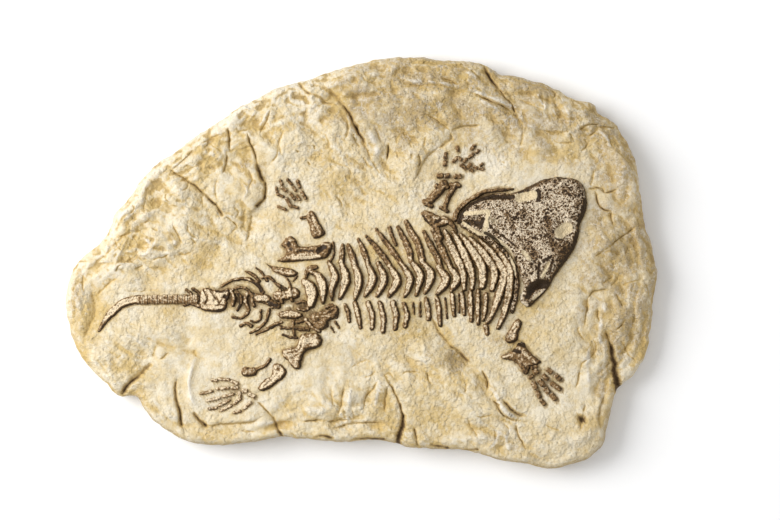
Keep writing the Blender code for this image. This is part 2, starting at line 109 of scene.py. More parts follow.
class Lattice:
    """Smooth random fields over the plan, the same on every run.

    Args:
        seed: picks the field.
    """

    SIZE = 256
    GAIN = 1.45

    def __init__(self, seed: int) -> None:
        """Draw the slopes at the corners of its cells."""
        turns = np.random.default_rng(seed).random((self.SIZE, self.SIZE)) * 2 * math.pi
        self.gradients = np.stack((np.cos(turns), np.sin(turns)), axis=-1)

    def wave(self, x: Array, y: Array, size: float) -> Array:
        """Gradient noise of one plan size, about -1 to 1."""
        u, v = np.asarray(x) / size, np.asarray(y) / size
        column, row = np.floor(u).astype(int), np.floor(v).astype(int)
        du, dv = u - column, v - row
        ease_u = du * du * du * (du * (du * 6 - 15) + 10)
        ease_v = dv * dv * dv * (dv * (dv * 6 - 15) + 10)

        def corner(step_u: int, step_v: int) -> Array:
            """The part of the field that comes from one corner of the cell."""
            lean = self.gradients[(column + step_u) % self.SIZE, (row + step_v) % self.SIZE]
            return lean[..., 0] * (du - step_u) + lean[..., 1] * (dv - step_v)

        near = corner(0, 0) + (corner(1, 0) - corner(0, 0)) * ease_u
        far = corner(0, 1) + (corner(1, 1) - corner(0, 1)) * ease_u
        return (near + (far - near) * ease_v) * self.GAIN

    def cloud(self, x: Array, y: Array, size: float, octaves: int = 4) -> Array:
        """Several octaves of `wave`, each half the size and half the height of the last."""
        total = np.zeros(np.broadcast(x, y).shape)
        for octave in range(octaves):
            shift = 17.3 * octave
            total += self.wave(x + shift, y - shift, size / 2 ** octave) / 2 ** octave
        return total

    def folds(self, x: Array, y: Array, length: float, width: float,
              turn: float) -> Array:
        """Sharp-crested folds, 0 in the troughs and 1 on the crests, drawn out along one way."""
        angle = math.radians(turn)
        along = (x * math.cos(angle) + y * math.sin(angle)) / length
        across = (y * math.cos(angle) - x * math.sin(angle)) / width
        bend = self.wave(along + 7.7, across + 3.1, 1.9) * 0.6
        return 1.0 - np.abs(self.wave(along + bend, across + bend, 1.0)) * 1.9


# After how many cells the facets repeat.
FACET_CELLS = 64


def facets(seed: int, x: Array, y: Array, size: float) -> Array:
    """Flat facets that meet in sharp ridges and sharp valleys, as in crumpled foil.

    Args:
        seed: picks the field.
        x: sheet x.
        y: sheet y.
        size: about the plan size of a facet.

    Returns:
        The relief, about -0.6 to 0.6.
    """
    table = np.random.default_rng(seed).random((2, FACET_CELLS, FACET_CELLS, 3))
    u, v = x / size, y / size
    column, row = np.floor(u).astype(int), np.floor(v).astype(int)
    total = np.zeros(x.shape)
    for sign, peaks in zip((1.0, -1.0), table):
        best = np.full(x.shape, -9.0)
        for step_u in (-1, 0, 1):
            for step_v in (-1, 0, 1):
                peak = peaks[(column + step_u) % FACET_CELLS, (row + step_v) % FACET_CELLS]
                gap = (u - column - step_u - peak[..., 0]) ** 2
                gap = gap + (v - row - step_v - peak[..., 1]) ** 2
                best = np.maximum(best, peak[..., 2] * 0.5 - gap)
        total += sign * best
    return total


def crumpled(seed: int, x: Array, y: Array, size: float, octaves: int) -> Array:
    """Several sizes of `facets`, gently bent.

    Args:
        seed: picks the field.
        x: sheet x.
        y: sheet y.
        size: plan size of the largest facets.
        octaves: how many sizes, each about half the last.

    Returns:
        The relief, about -1 to 1.
    """
    bend = Lattice(seed + 50)
    u = x + bend.wave(x, y, size * 1.1) * size * 0.28
    v = y + bend.wave(x + 90, y, size * 1.1) * size * 0.28
    total = np.zeros(x.shape)
    for octave in range(octaves):
        total += facets(seed + octave, u, v, size) * 0.52 ** octave
        u, v = u * 0.8 - v * 0.6 + 31.0, u * 0.6 + v * 0.8 - 17.0
        size *= 0.52
    return total


def terraced(value: Array, step: float) -> Array:
    """A relief cut into near-flat beds, one step apart, with steep ledges between them."""
    share = value / step
    bed = np.floor(share)
    return (bed + ease(share - bed, 0.55, 0.95) + 0.15 * (share - bed - 0.5)) * step


def ease(value: Array, low: float, high: float) -> Array:
    """A smooth step from 0 at `low` to 1 at `high`."""
    share = np.clip((value - low) / (high - low), 0.0, 1.0)
    return share * share * (3.0 - 2.0 * share)


def bell(ratio: Array) -> Array:
    """A smooth bump: 1 in the middle, 0 from a ratio of 1 on."""
    return np.clip(1.0 - ratio * ratio, 0.0, None) ** 2


def away_from_light_share(across: Array, down: Array) -> Array:
    """How far directions on the sheet point away from the light, the way in which painted shade is laid."""
    return across * AWAY_FROM_LIGHT[0] + down * AWAY_FROM_LIGHT[1]


def lean_to_light(normals: Array) -> Array:
    """How far normals lean towards the light, which gives a painted highlight; sheet y runs against theirs.
    """
    return -away_from_light_share(normals[:, 0], -normals[:, 1])


def shoulder(distance: Array, width: float) -> Array:
    """Rounded rise from an edge: 0 on the edge, 1 from one width inwards."""
    inward = np.clip(distance / width, 0.0, 1.0)
    return np.sqrt(1.0 - (1.0 - inward) ** 2)


def smooth_line(points: Line, step: float, closed: bool = False) -> Array:
    """Points about one step apart on the smooth curve through the given ones."""
    knots = np.array(points, float)
    if closed:
        knots = np.vstack((knots[-1], knots, knots[:2]))
    else:
        knots = np.vstack((2 * knots[0] - knots[1], knots, 2 * knots[-1] - knots[-2]))
    pieces = []
    for before, start, end, after in zip(knots, knots[1:], knots[2:], knots[3:]):
        count = max(1, round(float(np.linalg.norm(end - start)) / step))
        t = (np.arange(count) / count)[:, None]
        pieces.append(0.5 * (2 * start + (end - before) * t
                             + (2 * before - 5 * start + 4 * end - after) * t ** 2
                             + (3 * start - before - 3 * end + after) * t ** 3))
    if not closed:
        pieces.append(knots[-2][None])
    return np.vstack(pieces)


def travelled(line: Array) -> Array:
    """How far along a line each of its points lies."""
    return np.concatenate(([0.0], np.cumsum(np.linalg.norm(np.diff(line, axis=0), axis=1))))


def line_coordinates(line: Array, x: Array, y: Array
                     ) -> tuple[Array, Array, Array]:
    """Where places lie beside a line.

    Args:
        line: the line's points, sheet millimetres.
        x: sheet x of the places.
        y: sheet y of the places.

    Returns:
        The distance to the line, how far along it (0 to 1), and which side (-1 or 1).
    """
    runs = np.linalg.norm(np.diff(line, axis=0), axis=1)
    reach = travelled(line)
    best = np.full(x.shape, np.inf)
    along = np.zeros(x.shape)
    side = np.ones(x.shape)
    for start, end, run, begun in zip(line, line[1:], runs, reach):
        lean = (end - start) / max(run, 1e-6)
        dx, dy = x - start[0], y - start[1]
        travel = np.clip(dx * lean[0] + dy * lean[1], 0.0, run)
        distance = np.hypot(dx - travel * lean[0], dy - travel * lean[1])
        nearer = distance < best
        best = np.where(nearer, distance, best)
        along = np.where(nearer, (begun + travel) / reach[-1], along)
        side = np.where(nearer, np.sign(dx * lean[1] - dy * lean[0]), side)
    return best, along, side


def outline_distance(outline: Array, x: Array, y: Array) -> Array:
    """Distance from a closed outline: positive inside, negative outside."""
    ends = np.roll(outline, -1, axis=0)
    best = np.full(x.shape, np.inf)
    inside = np.zeros(x.shape, bool)
    for (ax, ay), (bx, by) in zip(outline, ends):
        rx, ry = bx - ax, by - ay
        share = np.clip(((x - ax) * rx + (y - ay) * ry) / max(rx * rx + ry * ry, 1e-9), 0.0, 1.0)
        best = np.minimum(best, np.hypot(x - ax - share * rx, y - ay - share * ry))
        spans = (ay > y) != (by > y)
        with np.errstate(divide="ignore", invalid="ignore"):
            crossing = ax + (y - ay) * rx / ry
        inside ^= spans & (x < crossing)
    return np.where(inside, best, -best)


def oval_ratio(x: Array, y: Array, middle: tuple[float, float], half_length: float,
               half_width: float, turn: float) -> Array:
    """How far out places lie in a turned oval: 0 in its middle, 1 on its line."""
    angle = math.radians(turn)
    dx, dy = x - middle[0], y - middle[1]
    along = (dx * math.cos(angle) + dy * math.sin(angle)) / half_length
    across = (dy * math.cos(angle) - dx * math.sin(angle)) / half_width
    return np.hypot(along, across)


def oval_bump(x: Array, y: Array, oval: Sequence[Any], spread: float = 1.0) -> Array:
    """A smooth bump over a turned oval.

    Args:
        x: sheet x of the places.
        y: sheet y of the places.
        oval: its middle, half length, half width and turn.
        spread: where the bump ends, in sizes of the oval.

    Returns:
        1 in the oval's middle, 0 from the bump's end on.
    """
    return bell(oval_ratio(x, y, *oval) / spread)


def blurred(grid: Array, cells: float) -> Array:
    """A grid softened by a bell of the given half width in cells."""
    reach = max(1, int(cells * 2.5))
    weights = np.exp(-0.5 * (np.arange(-reach, reach + 1) / cells) ** 2)
    weights /= weights.sum()
    for axis in (0, 1):
        padding = [(reach, reach) if axis == a else (0, 0) for a in (0, 1)]
        padded = np.pad(grid, padding, mode="edge")
        count = grid.shape[axis]
        grid = sum(weight * np.take(padded, range(k, k + count), axis=axis)
                   for k, weight in enumerate(weights))
    return grid


# ------------------------------------------------------------------ shader building
class Value:
    """A shader number or colour socket; Python's operators on it add Math nodes.

    Args:
        graph: the graph that the socket belongs to.
        socket: the output socket.
    """

    def __init__(self, graph: "Graph", socket: bpy.types.NodeSocket) -> None:
        """Hold the socket."""
        self.graph = graph
        self.socket = socket

    def _math(self, operation: str, first: Any, second: Any, clamp: bool = False) -> "Value":
        """A Math node on two values."""
        settings = {"operation": operation, "use_clamp": clamp}
        return self.graph.make("ShaderNodeMath", settings, {0: first, 1: second})

    def __add__(self, other: Any) -> "Value":
        """This plus another."""
        return self._math("ADD", self, other)

    __radd__ = __add__

    def __mul__(self, other: Any) -> "Value":
        """This times another."""
        return self._math("MULTIPLY", self, other)

    __rmul__ = __mul__

    def __sub__(self, other: Any) -> "Value":
        """This less another."""
        return self._math("SUBTRACT", self, other)

    def __rsub__(self, other: Any) -> "Value":
        """Another less this."""
        return self._math("SUBTRACT", other, self)

    def __pow__(self, other: Any) -> "Value":
        """This to a power."""
        return self._math("POWER", self, other)

    def gap_to(self, level: float) -> "Value":
        """How far this is from a level."""
        return self._math("ABSOLUTE", self - level, 0.0)

    def clipped(self) -> "Value":
        """This held between 0 and 1."""
        return self._math("ADD", self, 0.0, clamp=True)

    def eased(self, low: float, high: float) -> "Value":
        """A smooth step of this from 0 at `low` to 1 at `high`."""
        settings = {"interpolation_type": "SMOOTHSTEP"}
        inputs = {"Value": self, "From Min": low, "From Max": high, "To Min": 0.0, "To Max": 1.0}
        return self.graph.make("ShaderNodeMapRange", settings, inputs)

    def frayed(self, noise: "Value", amount: float, low: float, high: float) -> "Value":
        """This mark broken up by a noise, wherever there is some of it."""
        return self + (noise - 0.5) * amount * self.eased(low, high)


class Graph:
    """A material's nodes, built by name.

    Args:
        name: the material's name.
    """

    def __init__(self, name: str) -> None:
        """Start the material with its one shader."""
        self.material = bpy.data.materials.new(name)
        self.material.use_nodes = True
        self.tree = self.material.node_tree
        self.shader = self.tree.nodes["Principled BSDF"]

    def make(self, kind: str, settings: dict[str, Any], inputs: dict[Any, Any],
             output: Any = 0) -> Value:
        """Add a node.

        Args:
            kind: the node's type.
            settings: its properties, set first.
            inputs: values or links for its sockets, by name or number.
            output: the socket to hand back, by name or number.

        Returns:
            The wanted output.
        """
        node = self.tree.nodes.new(kind)
        for key, setting in settings.items():
            setattr(node, key, setting)
        for key, value in inputs.items():
            self.feed(node.inputs[key], value)
        return Value(self, node.outputs[output])

    def feed(self, socket: bpy.types.NodeSocket, value: Any) -> None:
        """Link a value to a socket, or set it there."""
        if isinstance(value, Value):
            self.tree.links.new(value.socket, socket)
        elif socket.type == "RGBA":
            socket.default_value = (*value, 1.0)
        else:
            socket.default_value = value

    def place(self) -> Value:
        """Object coordinates."""
        return self.make("ShaderNodeTexCoord", {}, {}, "Object")

    def attribute(self, name: str) -> Value:
        """A number stored on the mesh."""
        return self.make("ShaderNodeAttribute", {"attribute_name": name}, {}, "Fac")

    def noise(self, size: float, detail: float = 3.0, roughness: float = 0.55,
              stretch: Sequence[float] = (1.0, 1.0, 1.0), shift: float = 0.0) -> Value:
        """Noise of a real size in millimetres, about 0.3 to 0.7."""
        mapping = {"Vector": self.place(), "Scale": stretch, "Location": (shift, shift, shift)}
        place = self.make("ShaderNodeMapping", {}, mapping)
        inputs = {"Vector": place, "Scale": 1.0 / (size * MM), "Detail": detail,
                  "Roughness": roughness}
        return self.make("ShaderNodeTexNoise", {}, inputs, "Fac")

    def cells(self, size: float, shift: float) -> Value:
        """The squared distance to the nearest of scattered points, in cell sizes."""
        mapping = {"Vector": self.place(), "Location": (shift, shift * 0.7, shift * 0.3)}
        place = self.make("ShaderNodeMapping", {}, mapping)
        inputs = {"Vector": place, "Scale": 1.0 / (size * MM)}
        return self.make("ShaderNodeTexVoronoi", {}, inputs, "Distance") ** 2.0

    def mix(self, share: Any, first: Any, second: Any) -> Value:
        """A mix of two colours: the first at 0, the second at 1."""
        inputs = {0: share, 6: first, 7: second}
        return self.make("ShaderNodeMix", {"data_type": "RGBA"}, inputs, 2)

    def layered(self, colour: Any, *layers: tuple[Any, Any]) -> Any:
        """A colour with tones laid over it, each a share and a tone, from the lowest up."""
        for share, tone in layers:
            colour = self.mix(share, colour, tone)
        return colour

    def bump(self, height: Value, distance: float, strength: float,
             below: Value | None = None) -> Value:
        """A normal from a height, `distance` millimetres deep, on top of another bump."""
        inputs = {"Height": height, "Distance": distance * MM, "Strength": strength}
        if below is not None:
            inputs["Normal"] = below
        return self.make("ShaderNodeBump", {}, inputs)

    def finish(self, colour: Any, roughness: Any, normal: Any = None,
               specular: float = 0.5) -> bpy.types.Material:
        """Feed the shader and hand the material back."""
        self.shader.inputs["Specular IOR Level"].default_value = specular
        self.feed(self.shader.inputs["Base Color"], colour)
        self.feed(self.shader.inputs["Roughness"], roughness)
        if normal is not None:
            self.feed(self.shader.inputs["Normal"], normal)
        return self.material


# ------------------------------------------------------------------ finishes
@dataclass(frozen=True)
class StoneFinish:
    """Cream limestone with ochre in its folds, whiter beds, painted shade and grime beside the bones, and
    dull brown that is partly painted shade.
    """

    cream: Colour = (0.70, 0.57, 0.345)
    chalk: Colour = (0.79, 0.705, 0.535)
    white: Colour = (0.82, 0.765, 0.66)
    ochre: Colour = (0.62, 0.44, 0.165)
    bronze: Colour = (0.5, 0.335, 0.1)
    tan: Colour = (0.47, 0.355, 0.195)
    umber: Colour = (0.22, 0.13, 0.05)
    sepia: Colour = (0.075, 0.042, 0.018)
    specular: float = 0.22

    def material(self) -> bpy.types.Material:
        """Build the material."""
        graph = Graph("cream_limestone")
        recess, gap_shade_and_grime, chalk, rust, crack, tan, crest = (graph.attribute(name) for name in (
            "recess", "gap_shade_and_grime", "chalk", "rust", "crack", "tan", "crest"))
        small = graph.noise(5.0, 5.0, 0.68, shift=1.3)
        broad = graph.noise(60.0, 3.0)
        middle = graph.noise(14.0, 4.0, shift=0.4)
        fine = graph.noise(2.6, 5.0, 0.68)
        grain = graph.noise(0.9, 3.0, 0.6, shift=0.9)
        scribble = graph.noise(2.2, 4.0, 0.6, stretch=(0.35, 1.0, 1.0), shift=0.15)
        vein = graph.noise(11.0, 3.0, 0.6, stretch=(0.7, 1.0, 1.0), shift=2.1).gap_to(0.5)
        crinkle = graph.noise(6.5, 3.0, 0.62, stretch=(1.0, 0.75, 1.0), shift=5.1).gap_to(0.5)
        chalky = (chalk * 0.9 + scribble - 0.75).clipped().eased(0.1, 0.45)
        warm = (broad * 0.8 + middle * 0.8 + rust * 0.9 - chalk * 0.35 - 0.72).clipped()
        golden = (rust + (small - 0.5) * 0.6).eased(0.72, 1.05)
        # The dull brown is partly paint and partly painted shade, on the right side, along the bottom rim
        # and in shaded patches.
        dull = (tan * 1.1 + (middle - 0.5) * 2.2 + (small - 0.5) * 1.4) * tan.eased(0.0, 0.25)
        deep = (recess * 1.15 + (fine - 0.5) * 0.4 + (small - 0.5) * 0.5).clipped()
        thin = vein.eased(0.02, 0.004) * broad.eased(0.44, 0.56)
        bright = crinkle.eased(0.06, 0.02) * middle.eased(0.5, 0.62)
        sunk = crinkle.eased(0.018, 0.004) * middle.eased(0.5, 0.4)
        worked = crack.frayed(fine, 0.8, 0.0, 0.25)
        # Brown to near black beside the bones: painted shade, with grime in the crowded gaps.
        shade_and_grime_mask = gap_shade_and_grime.frayed(fine, 0.9, 0.02, 0.3).clipped()
        speck = graph.noise(1.7, 2.0, 0.5, shift=0.2).eased(0.6, 0.67)
        colour = graph.layered(
            self.cream,
            (middle.eased(0.38, 0.62), self.chalk),
            ((chalk + fine * 0.2 - 0.1).clipped() * 0.75, self.chalk),
            (chalky * 0.45, self.white),
            (warm.eased(0.0, 0.55) * 0.8, self.ochre),
            (golden * 0.6, self.bronze),
            (dull.clipped().eased(0.15, 0.9) * 0.85, self.tan),
            (small.eased(0.53, 0.64) * (tan * 0.3 + 0.34), self.ochre),
            (small.eased(0.47, 0.35) * 0.6, self.chalk),
            (fine.eased(0.52, 0.64) * (tan * 0.4 + 0.12), self.tan),
            (crest.frayed(fine, 0.8, 0.0, 0.2).eased(0.1, 0.7) * 0.8, self.white),
            (deep.eased(0.1, 0.8) * 0.7, self.ochre),
            (deep.eased(0.45, 1.3) * 0.55, self.umber),
            (thin * (tan * 0.5 + 0.25), self.ochre),
            (bright * (tan * 0.4 + 0.18), self.white),
            (sunk * (tan * 0.45 + 0.04), self.tan),
            (worked.eased(0.03, 0.3) * 0.75, self.ochre),
            (worked.eased(0.2, 0.75) * 0.8, self.umber),
            (worked.eased(0.6, 1.0) * 0.85, self.sepia),
            (shade_and_grime_mask.eased(0.02, 0.3) * 0.4, self.ochre),
            (shade_and_grime_mask.eased(0.1, 0.6) * 0.75, self.umber),
            (shade_and_grime_mask.eased(0.5, 0.95) * 0.85, self.sepia),
            (speck * (tan * 0.5 + 0.12), self.umber))
        normal = graph.bump(vein.eased(0.0, 0.09), 0.3, 0.6)
        normal = graph.bump(crinkle.eased(0.0, 0.1) * (tan * 0.8 + 0.3), 0.35, 0.6, normal)
        normal = graph.bump(grain, 0.3, 0.6, normal)
        normal = graph.bump(fine * (tan * 0.6 + 0.9), 1.25, 0.95, normal)
        for size, distance, shift in ((7.0, 1.2, 0.1), (3.2, 0.9, 0.5)):
            chips = (graph.cells(size, shift) - graph.cells(size, shift + 3.3)) * broad.eased(0.3, 0.55)
            normal = graph.bump(chips, distance, 0.8, normal)
        return graph.finish(colour, 0.74 + grain * 0.2, normal, self.specular)


@dataclass(frozen=True)
class BoneFinish:
    """Dark mineralised bone, worn pale on its high points and pitted black, with a painted highlight on the
    side facing the light and painted shade along its edges.

    Args:
        name: the material's name.
        speckle: size of its worn patches in millimetres.
        scatter: how unevenly it is worn.
        worms: how far the worn patches run in crooked lines.
    """

    name: str = "worn_bone"
    speckle: float = 2.4
    scatter: float = 1.6
    worms: float = 0.0
    ink: Colour = (0.036, 0.0195, 0.007)
    brown: Colour = (0.255, 0.145, 0.054)
    pale: Colour = (0.79, 0.645, 0.44)
    bed: Colour = (0.68, 0.56, 0.36)
    specular: float = 0.25

    def material(self) -> bpy.types.Material:
        """Build the material."""
        graph = Graph(self.name)
        # The first mark holds real wearing and a painted highlight on the side facing the light; the dark
        # one holds grime and painted shade.
        wear_and_highlight, dark, cream = (graph.attribute(name) for name in ("wear_and_highlight", "dark", "cream"))
        grain = graph.noise(self.speckle, 3.0, 0.6)
        patch = graph.noise(9.0, 3.0, shift=0.3)
        pits = graph.noise(1.25, 2.0, 0.5, shift=0.5)
        dust = graph.noise(0.7, 2.0, 0.6, shift=0.7)
        uneven = (grain - 0.5) * self.scatter + (patch - 0.5) * 0.5
        if self.worms:
            uneven = (patch - 0.5) * 1.1 + (0.05 - grain.gap_to(0.5)) * (7.5 * self.worms)
        worn = wear_and_highlight + uneven
        light = cream.frayed(grain, 0.5, 0.02, 0.3).clipped()
        shade = dark.frayed(grain, 0.4, 0.02, 0.3).clipped()
        colour = graph.layered(
            self.ink,
            (worn.eased(0.0, 0.38), self.brown),
            (worn.eased(0.36, 0.74), self.pale),
            (pits.eased(0.45, 0.36) * 0.8, self.ink),
            (light.eased(0.2, 0.8), self.bed),
            (shade.eased(0.15, 0.8) * 0.95, self.ink))
        normal = graph.bump(dust, 0.2, 0.5)
        normal = graph.bump(pits, 0.35, 0.6, normal)
        normal = graph.bump(grain, 0.6, 0.6, normal)
        return graph.finish(colour, 0.5 + worn.clipped() * 0.28, normal, self.specular)


@dataclass(frozen=True)
class FloorFinish:
    """Plain pale paper."""

    tone: Colour = (0.99, 0.99, 0.99)

    def material(self) -> bpy.types.Material:
        """Build the material."""
        return Graph("pale_floor").finish(self.tone, 0.95)


# ------------------------------------------------------------------ the bones' shapes
def entries(table: str) -> list[tuple]:
    """The rows of a table: numbers, a colon, and points as `x,y x,y`.

    Args:
        table: the rows.

    Returns:
        For each row, its points and then its numbers.
    """
    found = []
    for row in table.strip().splitlines():
        numbers, places = row.split(":")
        line = tuple(tuple(float(value) for value in place.split(",")) for place in places.split())
        found.append((line, *(float(number) for number in numbers.split())))
    return found


def ovals(table: str) -> tuple[tuple, ...]:
    """Rows that each have one point: the point, then the numbers."""
    return tuple((line[0], *numbers) for line, *numbers in entries(table))


@dataclass(frozen=True)
class Stroke:
    """A rod-like stretch of bone, millimetres on the sheet.

    Args:
        points: its middle line.
        start: half width at the first point.
        end: half width at the last point.
        rise: height above the stone.
        groove: depth of the furrow along its middle.
        belly: how much wider its middle is than its ends.
        worn: how far it is worn, as a share of how far the bone itself is worn.
    """

    points: Line
    start: float
    end: float
    rise: float = 2.6
    groove: float = 0.0
    belly: float = 0.0
    worn: float = 1.0


@dataclass(frozen=True)
class Plate:
    """A stretch of bone with a free outline.

    Args:
        outline: closed outline on the sheet.
        rise: height above the stone.
        width: width of its rounded shoulder.
        dips: hollows as middle, half length, half width, turn and depth.
        furrows: lines with a half width and a depth; a ridge has a negative depth.
    """

    outline: Line
    rise: float
    width: float
    dips: tuple = ()
    furrows: tuple = ()


class Mark(Enum):
    """What a tint does to a bone's surface."""

    DARK = "dark"
    CREAM = "cream"
    PALE = "pale"


@dataclass(frozen=True)
class Tint:
    """A mark of colour along a line on a bone.

    Args:
        mark: dark grime and painted shade in hollows and on shaded edges, cream matrix, or pale worn
            places.
        points: its line.
        width: its half width.
        amount: how strong it is.
    """

    mark: Mark
    points: Line
    width: float
    amount: float = 1.0

    def strength(self, x: Array, y: Array) -> Array:
        """Its strength at places on the sheet."""
        distance = line_coordinates(smooth_line(self.points, 2.0), x, y)[0]
        return self.amount * (1.0 - ease(distance, self.width * 0.55, self.width * 1.25))


@dataclass(frozen=True)
class Bone:
    """One bone: its parts, and the solid of the frame that it stands for.

    Args:
        node: the solid's name.
        parts: strokes and plates that grow into each other.
        rough: height of its fine roughness.
        pits: depth of its pits.
        worn: how far its crest is worn pale.
        step: spacing of its mesh.
        tints: marks of colour on it.
        shaded_side: how far the painted shade on its side away from the light reaches up the bone.
    """

    node: str
    parts: tuple
    rough: float = 0.32
    pits: float = 0.35
    worn: float = 0.42
    step: float = 0.55
    tints: tuple = ()
    shaded_side: float = 1.8


def read_bones(table: str) -> tuple[Bone, ...]:
    """Bones from a table with an empty row between them.

    Args:
        table: for each bone a row of its node and its own settings, and then a row for each
            stroke, plate or mark of colour. A dip or furrow belongs to the plate above it, and
            an indented row goes on with the points of the row above.

    Returns:
        The bones.
    """
    found = []
    for block in table.strip().split("\n\n"):
        head, *rows = block.replace("\n ", " ").splitlines()
        node, *settings = head.split()
        parts: list[Stroke | Plate] = []
        colours = []
        for kind, row in (row.split(maxsplit=1) for row in rows):
            line, *numbers = entries(row)[0]
            if kind == "stroke":
                parts.append(Stroke(line, *numbers))
            elif kind == "plate":
                parts.append(Plate(line, *numbers))
            elif kind == "dip":
                parts[-1] = replace(parts[-1], dips=parts[-1].dips + ((line[0], *numbers),))
            elif kind == "furrow":
                parts[-1] = replace(parts[-1], furrows=parts[-1].furrows + ((line, *numbers),))
            else:
                colours.append(Tint(Mark(kind), line, *numbers))
        own = {key: float(value) for key, value in (setting.split("=") for setting in settings)}
        found.append(Bone(node, tuple(parts), tints=tuple(colours), **own))
    return tuple(found)


# Half widths and middle line of each vertebra's arch, from the hip to the neck.
ARCHES = entries("""
5 5.2: 305,282 310,287 312,295 311,304
3.2 3.4: 310,271 318,276 323,286 323,302
3 2.6: 329,262 335,276 332,288 332,300
3.4 3.3: 341,262 346,279 340,298
3.3 3: 353,262 359,280 355,299
3 3: 367,263 373,279 365,296
3 2.9: 378,263 384,279 377,296
3.3 3.2: 390,266 397,281 389,296
2.9 2.5: 401,263 410,278 408,290 404,297
3 2.9: 410,259 420,274 419,284 416,295
3.3 3.1: 422,261 431,275 425,293
3.4 3.4: 438,267 446,280 437,294
3.3 3.1: 450,267 457,279 451,291
3.3 3.4: 445,231 451,245 457,258 463,273 464,289
3 3.6: 453,232 461,247 467,260 472,274 472,288
3 4.8: 461,235 471,248 479,261 483,273 482,286
3 4: 470,238 480,249 489,261 495,273 492,289
3 3.3: 480,240 490,250 498,261 504,273 501,290 493,312 488,322
3.2 3.1: 494,246 503,257 509,268 510,281 508,298 504,314 498,328
""")
# The left ribs that run into a vertebra: its number, two half widths, and the rib's line.
LEFT_RIBS = entries("""
2 1.6 1.8: 306,277 308,270 316,267
4 1.6 2: 343,245 342,254 342,264
5 2 2.8: 348,245 351,253 355,264
6 1.6 2.2: 358,239 363,249 368,264
8 1.7 2.1: 366,236 375,246 384,257 391,268
9 1.6 2.1: 376,229 385,241 394,253 402,265
10 2 2.4: 398,227 404,239 409,250 411,261
11 2.6 2.8: 406,222 411,232 418,244 423,263
12 2.3 2.1: 424,232 431,246 438,259 441,269
13 2.7 2.5: 433,230 439,243 445,256 451,269
""")
# The first of the vertebrae beside the skull, which are less worn.
FRONT_VERTEBRA = 14
# Half widths and middle line of each right rib, from the hip to the neck.
RIGHT_RIBS = entries("""
1.6 1.4: 345,305 348,313 349,321
2.3 2: 355,303 358,315 360,327
2.5 2.1: 368,303 372,315 372,328
2.2 2.3: 380,303 383,317 383,331
2.9 2.3: 393,303 396,315 395,329
2 2.1: 404,304 407,315 405,326
2.2 2.2: 426,299 428,309 429,319
2.3 2.1: 437,299 439,311 440,325
2.2 1.9: 452,295 453,305 454,315
2.1 1.9: 462,293 463,303 464,314
2.3 2.2: 470,292 471,306 471,320
2.1 1.9: 478,291 478,308 478,324
1.9 1.6: 486,294 485.5,307 483.5,320
""")

# Thin slivers of rib that lie between the larger bones.
SLIVERS = tuple((name, *entry) for name, entry in zip((
    *(f"rib_sliver_{number}" for number in range(1, 9)), "strip_front", "piece_front",
    *(f"hip_piece_{number}" for number in range(1, 9)), "rib_sliver_9", "rib_sliver_10"), entries("""
1.2 1.2: 420,302 420,316
1 1: 459,294 459,312
1.4 1.4: 496,292 494,305 489,320
1.3 1.2: 333,243 334,252 331,261
1.4 1: 331,327 334,332
1.4 1: 335,322 339,328
1.2 1: 413,303 414,314
1.2 1: 445,298 447,318
2.2 1.8: 516,284 515,298 512,311
3 2.6: 486,326 487,333
1.7 1.7: 296,303 303,301.5 309,305 306,310 298,309
2.2 1.6: 272,307 278,304 281,301
2.4 2.6: 306,320 312,327 319,331
1.8 2.2: 326,308 331,305 336,310 336,317
1.8 1.4: 297,322 304,321
1.6 2: 296,329 308,330
1.5 1.5: 294,320 293,328 295,336
4.4 4.4: 256,297 263,299 270,302
1 1: 281,272 288,280 291,287
1 1: 297,276 293,281
""")))

